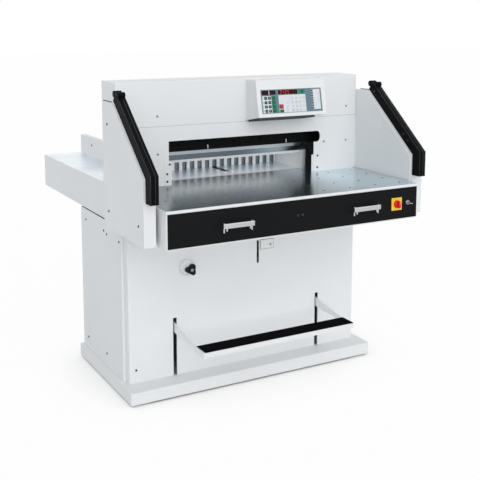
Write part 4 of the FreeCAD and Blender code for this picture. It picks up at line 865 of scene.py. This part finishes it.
# %% Figures and small windows
ink_white, ink_black = bmesh.new(), bmesh.new()
for ink, figures, keys in ((ink_white, "12345678", dark_keys),
                           (ink_black, "7410852096 3", number_keys)):
    for number, (left, right, low, high) in zip(figures, keys):
        if number != " ":
            join(ink, figure(number, 7, 0.1),
                 on_console((left + right) / 2, (low + high) / 2, KEY_OUT + KEY_HIGH))
small_windows = [key_at(284.6, 31 + step * 11.2, 9.2, 7.6) for step in range(8)]
small_windows += [key_at(27.5, up, 2.6, 5) for up in KEY_ROWS] + [key_at(231.5, 107.5, 9, 9)]
rules = [(286, 325, 30.5 + step * 10.6, 31.7 + step * 10.6) for step in range(8)]
piece_of("keypad_white_figures", ink_white, "print_white")
piece_of("keypad_black_figures", ink_black, "print_black")
piece_of("keypad_small_windows", fields(small_windows, KEY_OUT, 0.3, 1), "key_dark")
piece_of("keypad_grey_rules", fields(rules, KEY_OUT, 0.1, 0.3), "key_grey")

# %% [markdown]
# Three displays look through dark red glass. Each figure is made of seven bars: two
# uprights left, two right and three across. A table says which bars light up for which
# figure. The bars lean a little: one number in a transform moves them sideways by their
# height.

# %% Displays
SEGMENTS = {"0": "abcdef", "2": "abged", "4": "fgbc", "5": "afgcd", "8": "abcdefg"}
DIGIT_TALL = 13.0
DIGIT_WIDE = 7.0
DIGIT_UP = 107.5
BAR = 1.9
GLASS_THICK = 0.25
LEAN = Matrix.Identity(4)
LEAN[0][1] = 0.12
BAR_PLACES = {
    "a": (0, 1, True), "g": (0, 0, True), "d": (0, -1, True),
    "f": (-1, 0.5, False), "b": (1, 0.5, False), "e": (-1, -0.5, False), "c": (1, -0.5, False),
}


def digit(figure_name):
    shape = bmesh.new()
    for bar in SEGMENTS[figure_name]:
        across, up, flat = BAR_PLACES[bar]
        long = DIGIT_WIDE - BAR * 0.8 if flat else DIGIT_TALL / 2 - BAR * 0.8
        size = (long, BAR) if flat else (BAR, long)
        join(shape, block(*size, 0.1, 0.6),
             shift(across * DIGIT_WIDE / 2, up * DIGIT_TALL / 2, 0))
    bmesh.ops.transform(shape, matrix=LEAN, verts=shape.verts)
    return shape


def display_row(text, first, pitch):
    shape = bmesh.new()
    for step, figure_name in enumerate(text):
        join(shape, digit(figure_name),
             on_console(first + step * pitch, DIGIT_UP, GLASS_FACE + GLASS_THICK))
    return shape


GLASSES = [(23.8, 58.2, 98.3, 116.7), (62.8, 93.7, 98.3, 116.7), (107.3, 206.2, 98.3, 116.7)]
piece_of("display_glass", fields(GLASSES, GLASS_FACE, GLASS_THICK, 0.8), "screen_dark")
piece_of("display_lit_figures", display_row("0425", 121, 12.6), "segment_lit")
dim = display_row("88", 34, 14)
join(dim, display_row("88", 71.5, 13))
join(dim, display_row("888", 172, 12.6))
piece_of("display_dim_figures", dim, "segment_dim")

# %% [markdown]
# The knob that sets the clamp's depth has three lobes for three fingers. A circle's
# points are pushed out three times round by a cosine, the face is extruded to the knob's
# height and its rims are bevelled: a large round at the front for the hand, a small one
# at the back. A turned metal cap covers the screw.

# %% Three-lobed knob
KNOB_HIGH = 21.7
KNOB_WAIST = 17.5
KNOB_REACH = 26.5
ON_KNOB = stand(at(-309, 401.7, 540))


def three_lobed_knob():
    shape = bmesh.new()
    ring = bmesh.ops.create_circle(shape, cap_ends=True, segments=96, radius=1)["verts"]
    for vert in ring:
        turn = math.atan2(vert.co.y, vert.co.x)
        swell = 0.5 + 0.5 * math.cos(3 * (turn - math.pi / 3))
        radius = KNOB_WAIST + (KNOB_REACH - KNOB_WAIST) * swell
        vert.co = (radius * math.cos(turn), radius * math.sin(turn), 0)
    top = bmesh.ops.extrude_face_region(shape, geom=shape.faces[:])["geom"]
    bmesh.ops.translate(shape, vec=(0, 0, KNOB_HIGH),
                        verts=[item for item in top if isinstance(item, bmesh.types.BMVert)])
    ease(shape, edges_above(shape, KNOB_HIGH - 0.01), 5, 5)
    back = [e for e in shape.edges if all(v.co.z < 0.01 for v in e.verts)]
    ease(shape, back, 1.5)
    bmesh.ops.recalc_face_normals(shape, faces=shape.faces)
    return shape


knob = placed(three_lobed_knob(), ON_KNOB)
join(knob, turned([(7.9, -68.3), (7.9, 0.5), (0, 0.5)], 20), ON_KNOB)      # its shaft
piece_of("three_lobed_knob", knob, "knob_black", "depth_knob", ["star_knob"])
cap = placed(turned([(7.2, 0), (7.2, 1), (6.5, 1.9), (4.3, 2.6), (0, 2.9)]),
             ON_KNOB @ shift(0, 0, KNOB_HIGH))
piece_of("knob_cap", cap, "zinc", "depth_knob")

# %% [markdown]
# Behind the knob, a disc with fine division lines shows the setting. Every fourth line
# is longer and has its number. The lines are thin bars, turned into place one by one.

# %% Dial divisions
ON_DIAL = stand(at(-309, 436, 540))
DIAL_RADIUS = 35
DIAL_LINES = 40
dial_ink = bmesh.new()
for step in range(DIAL_LINES):
    numbered = step % 4 == 0
    long = 6.0 if numbered else 3.2
    turn = ON_DIAL @ Matrix.Rotation(-math.tau * step / DIAL_LINES, 4, "Z")
    join(dial_ink, block(0.9, long, 0.12), turn @ shift(0, DIAL_RADIUS - long / 2, 0))
    if numbered:
        join(dial_ink, figure(str(step // 4), 4.2), turn @ shift(0, 26, 0))
piece_of("dial_divisions", dial_ink, "print_black")
rim = placed(turned([(37, 0), (37, 0.5), (36.7, 0.9), (36.4, 0.5), (36.4, 0), (37, 0)], 64),
             ON_DIAL)
piece_of("dial_rim", rim, "turned_steel")

# %% [markdown]
# The main switch is a red rotary knob on a yellow plate, the colours that every machine
# uses for an emergency off. A turned body carries a rounded grip, and a turned collar
# guards it. The plate says 0 and I, as switches do.

# %% Main switch
ON_SWITCH = stand(at(479, -4.3, 820))
ON_PLATE = stand(at(479, -4, 820))
SWITCH_BODY = [(0, 0), (15.8, 0), (16.2, 0.4), (16.2, 6.6), (15.4, 8.2), (13.6, 9), (0, 9)]
COLLAR = [(20.5, 0), (20.5, 1.4), (19.7, 2), (17.9, 2), (17.3, 1.4), (17.3, 0), (20.5, 0)]
GRIP_HIGH = 22.6
red = placed(turned(SWITCH_BODY, 40), ON_SWITCH)
join(red, block(11.5, 30.6, GRIP_HIGH, 5.4, 2.2), ON_SWITCH)
piece_of("main_switch_grip", red, "switch_red", "switch_knob", ["main_switch_knob"])
line = placed(block(1.6, 9, 0.25, 0.6), ON_SWITCH @ shift(0, 9, GRIP_HIGH))
piece_of("main_switch_line", line, "print_white", "switch_knob")
piece_of("main_switch_collar", placed(turned(COLLAR, 40), ON_PLATE), "switch_yellow")
marks = bmesh.new()
for text, x, up in (("0", -24.4, 0), ("I", 0, 24.4)):
    join(marks, figure(text, 4.6), ON_PLATE @ shift(x, up, 0))
piece_of("main_switch_marks", marks, "print_black")

# %% [markdown]
# A key switch sits to the right of it. The lock is turned, with a dished face, and the
# key's bow is a flat ring, turned and then stretched a little. Two smoked pilot lamps in
# dark grey bezels stand in the middle of the fascia.

# %% Key switch and pilot lamps
LOCK_ACROSS, LOCK_UP = 540, 821
BARREL = [(10.6, 0), (10.6, 1.6), (10, 2.2), (10, 4.6), (9.2, 5.6), (8.2, 6), (6.2, 6),
          (5.4, 5.4), (5.2, 4), (0, 4)]
BOW = [(3.4, -1.2), (8.6, -1.2), (9, -0.8), (9, 0.8), (8.6, 1.2), (3.4, 1.2), (3.4, -1.2)]
barrel = placed(turned(BARREL, 32), stand(at(LOCK_ACROSS, 0, LOCK_UP)))
piece_of("key_barrel", barrel, "zinc", replaces=["key_switch"])
key = placed(turned(BOW, 32), stand(at(LOCK_ACROSS, -21.5, LOCK_UP), FACING_UP)
             @ Matrix.Diagonal((1, 1.05, 1, 1)))
join(key, block(6.4, 2.2, 10, 0.4, 0.2), stand(at(LOCK_ACROSS, -4.2, LOCK_UP)))
piece_of("key_with_bow", key, "bright_steel", "key", ["switch_key"])
bezels, lenses = bmesh.new(), bmesh.new()
for x in (-19, 3):
    place = stand(at(x, 0, 824))
    join(bezels, turned([(5, 0), (5, 1.4), (4.4, 2), (3.9, 1.6), (3.9, 0), (5, 0)]), place)
    join(lenses, turned([(3.7, 0.2), (3.6, 1.6), (2.8, 2.5), (1.5, 2.9), (0, 3)]), place)
piece_of("pilot_bezels", bezels, "shadow_and_bezel_grey", replaces=["pilot_lamps"])
piece_of("pilot_lenses", lenses, "smoked")

# %% [markdown]
# The small door in the front cover is closed by a quarter-turn lock. A thin grey frame
# round it is painted shade, for the shadow in the gap between door and cover. The frame is
# flat: a grid of one face, inset by the frame's width, emptied in the middle and given a
# thickness.

# %% Door gap shadow and lock


def flat_frame(wide, high, bar, thick):
    shape = bmesh.new()
    bmesh.ops.create_grid(shape, x_segments=1, y_segments=1, size=0.5)
    bmesh.ops.scale(shape, vec=(wide, high, 1), verts=shape.verts)
    middle = shape.faces[:]
    bmesh.ops.inset_region(shape, faces=middle, thickness=bar, use_boundary=True,
                           use_even_offset=True)
    bmesh.ops.delete(shape, geom=middle, context="FACES_ONLY")
    bmesh.ops.solidify(shape, geom=shape.faces[:], thickness=thick)
    bmesh.ops.recalc_face_normals(shape, faces=shape.faces)
    return shape


FRONT_COVER = 440
ON_DOOR = stand(at(112, 434, 590))
LOCK_RING = [(6, -0.2), (6.6, 0), (6.6, 0.5), (6, 0.9), (4.6, 0.9), (4.2, 0.4), (4.2, -0.2),
             (6, -0.2)]
# Painted shade: a grey frame round the door for the shadow in its gap.
gap_shadow_frame = placed(flat_frame(71.4, 46.4, 2.6, 0.3),
              stand(at(96, FRONT_COVER, 592.5)) @ shift(0, 0, 0.32))
piece_of("door_gap_shadow", gap_shadow_frame, "gap_shadow_grey")
piece_of("door_lock_ring", placed(turned(LOCK_RING), ON_DOOR), "bright_steel",
         "door")
piece_of("door_keyway", placed(block(3.2, 9, 0.4, 1.4), ON_DOOR), "print_black",
         "door")

# %% [markdown]
# Where two sheets meet there is a seam, and a machine without seams looks like a toy.
# The hood's upper and lower covers meet along the front and both ends, and a fine grey
# line marks it: the joint, and painted shade for the shadow line along the seam. Under the
# console a dark grey tray stands in for the shadow below its face: painted shade. Black
# lips line the slot in the rear table, in which the gauge's foot runs, and three slots in
# the front cover: the depth scale's and the two in which the treadle's arms move. All of
# these are slim blocks with eased rims.

# %% Seam shadow lines, console shadow tray and slot lips
HOOD_FRONT, HOOD_SIDE, HOOD_MIDDLE = 474.5, 606, 556
SEAM_HEIGHT = 1155
# Painted shade: grey strips along the hood's seams, for the joint and its shadow line.
seam_shadow_strips = placed(block(1211, 2.6, 0.25, 1, 0.08), stand(at(0, HOOD_FRONT, SEAM_HEIGHT)))
for x, facing in ((-HOOD_SIDE, FACING_LEFT), (HOOD_SIDE, FACING_RIGHT)):
    join(seam_shadow_strips, block(157, 2.2, 0.2, 0.8, 0.08), stand(at(x, HOOD_MIDDLE, SEAM_HEIGHT), facing))
piece_of("hood_seam_shadows", seam_shadow_strips, "seam_shadow_grey")

SHADOW_TRAY_LEAN = math.atan2(20, 113.5)       # the tray rises 20 mm over 113.5 mm
# Painted shade: a dark grey tray under the console's face stands in for its shadow.
shadow_tray = placed(block(290, 98, 9, 3, 1),
              stand(at(157.5, 417, 1170), Matrix.Rotation(math.pi - SHADOW_TRAY_LEAN, 4, "X")))
piece_of("console_shadow_tray", shadow_tray, "shadow_and_bezel_grey")

TABLE_TOP = 899
REAR_SLOT, SLOT_WIDE, LIP = 14, 10.2, 7.5       # the slot's middle, its width and its lips'
COVER_SLOTS = [         # middle, width, lower end, upper end, width of the lips
    (49.2, 8, 510, 612, 1.6), (-366, 12.8, 61, 318, 2), (370, 12.8, 61, 318, 2)]
lips = bmesh.new()
for side in (-1, 1):
    join(lips, block(LIP, 766, 0.2, 1.5, 0.08),
         stand(at(REAR_SLOT + side * (SLOT_WIDE + LIP) / 2, 1057, TABLE_TOP), FACING_UP))
join(lips, block(SLOT_WIDE + 2 * LIP, 4, 0.2, 1.5, 0.08),
     stand(at(REAR_SLOT, 671.8, TABLE_TOP), FACING_UP))
for middle, wide, low, high, bar in COVER_SLOTS:
    for side in (-1, 1):
        join(lips, block(bar, high - low, 0.3, 0.5, 0.1),
             stand(at(middle + side * (wide + bar) / 2, FRONT_COVER, (low + high) / 2)))
    join(lips, block(wide + 2 * bar, bar, 0.3, 0.5, 0.1),
         stand(at(middle, FRONT_COVER, high + bar / 2)))
piece_of("slot_lips", lips, "lip_black")

# %% [markdown]
# A thin red line of light runs along the cutting stick, where the knife will land.

# %% Cut line
glow_line = placed(block(731, 3, 0.1, 1, 0.04), stand(at(0, 576, TABLE_TOP - 0.1), FACING_UP))
piece_of("cut_line", glow_line, "cut_light")

# %% [markdown]
# The light guards are black profiles on the wings' sloping edges. Each upper end carries
# two round bosses, side by side, in which the beam's first lamps sit. A boss is a short
# round bar with bevelled rims lying across the guard, with a screw in each end. Slim
# ridges run along the front of the profile, upright below the bend and sloping above it.
# They are a lighter grey than the guard: a painted highlight for the light that its edges
# catch.

# %% Guard ends and highlight ridges
SLOPE = 39.58           # degrees between the guards' upper part and the upright
FACING_SLOPE = Matrix.Rotation(math.radians(SLOPE), 4, "X")
FRONT_BEND = Vector((8, 1033.7))        # how far back, and how high
FRONT_RUNS = [(Vector((8, 931)), FRONT_BEND, FACING_FRONT),
              (FRONT_BEND, Vector((351, 1317.3)), FACING_SLOPE)]
BOSSES = [(371, 1309, 13.5), (334.5, 1306.5, 12.5)]     # back, height, radius
GUARDS = [(-653, -619), (607, 641)]     # left and right side of each


def boss(length, radius):
    shape = bmesh.new()
    bmesh.ops.create_cone(shape, cap_ends=True, segments=40, radius1=radius, radius2=radius,
                          depth=length)
    rims = [e for e in shape.edges if abs(e.verts[0].co.z - e.verts[1].co.z) < 0.01]
    ease(shape, rims, 1.6, 3)
    return shape


bosses, edge_highlight_ridges, guard_screws = bmesh.new(), bmesh.new(), bmesh.new()
for left, right in GUARDS:
    middle = (left + right) / 2
    for y, z, radius in BOSSES:
        join(bosses, boss(right - left - 1.5, radius), stand(at(middle, y, z), FACING_RIGHT))
        for x, facing in ((right - 0.8, FACING_RIGHT), (left + 0.8, FACING_LEFT)):
            join(guard_screws, button_head(3.4, 1.6, 1.3), stand(at(x, y, z), facing))
    for x in (left + 1.2, middle + 3.5, right - 1.2):
        for low, high, facing in FRONT_RUNS:
            join(edge_highlight_ridges, block(1.5, (high - low).length, 0.6, 0, 0.25),
                 stand(at(x, *(low + high) / 2), facing))
piece_of("guard_bosses", bosses, "guard_black")
# Painted highlight: the ridges are lighter than the guard, for the light on its edges.
piece_of("guard_edge_highlights", edge_highlight_ridges, "edge_highlight_grey")
piece_of("guard_screws", guard_screws, "dark_zinc")
covers = bmesh.new()
for x in (-657, 634):
    join(covers, block(5, 92, 2.5, 1, 0.5), stand(at(x, 428, 1276.2), FACING_UP))
piece_of("guard_lead_covers", covers, "guard_black")

# %% [markdown]
# On the sides that face each other, the guards have small windows for the beams of
# light: a dull black plate with a small dark lens in it. Only a few are large enough to
# see, and they lean with the guard's slope.

# %% Beam windows
WINDOWS = [(118, 1101), (88, 1075), (334, 1275)]
WINDOW_LEAN = math.radians(50.4)
plates, lens_shapes = bmesh.new(), bmesh.new()
for x, facing, lean in ((607, FACING_LEFT, WINDOW_LEAN), (-619, FACING_RIGHT, -WINDOW_LEAN)):
    for y, z in WINDOWS:
        spot = stand(at(x, y, z), facing) @ Matrix.Rotation(lean, 4, "Z")
        join(plates, block(16, 13, 0.5, 3, 0.2), spot)
        join(lens_shapes, turned([(4.4, 0.5), (4.2, 0.9), (2.6, 1.5), (0, 1.8)], 20), spot)
piece_of("beam_windows", plates, "lip_black")
piece_of("beam_lenses", lens_shapes, "lens_grey")
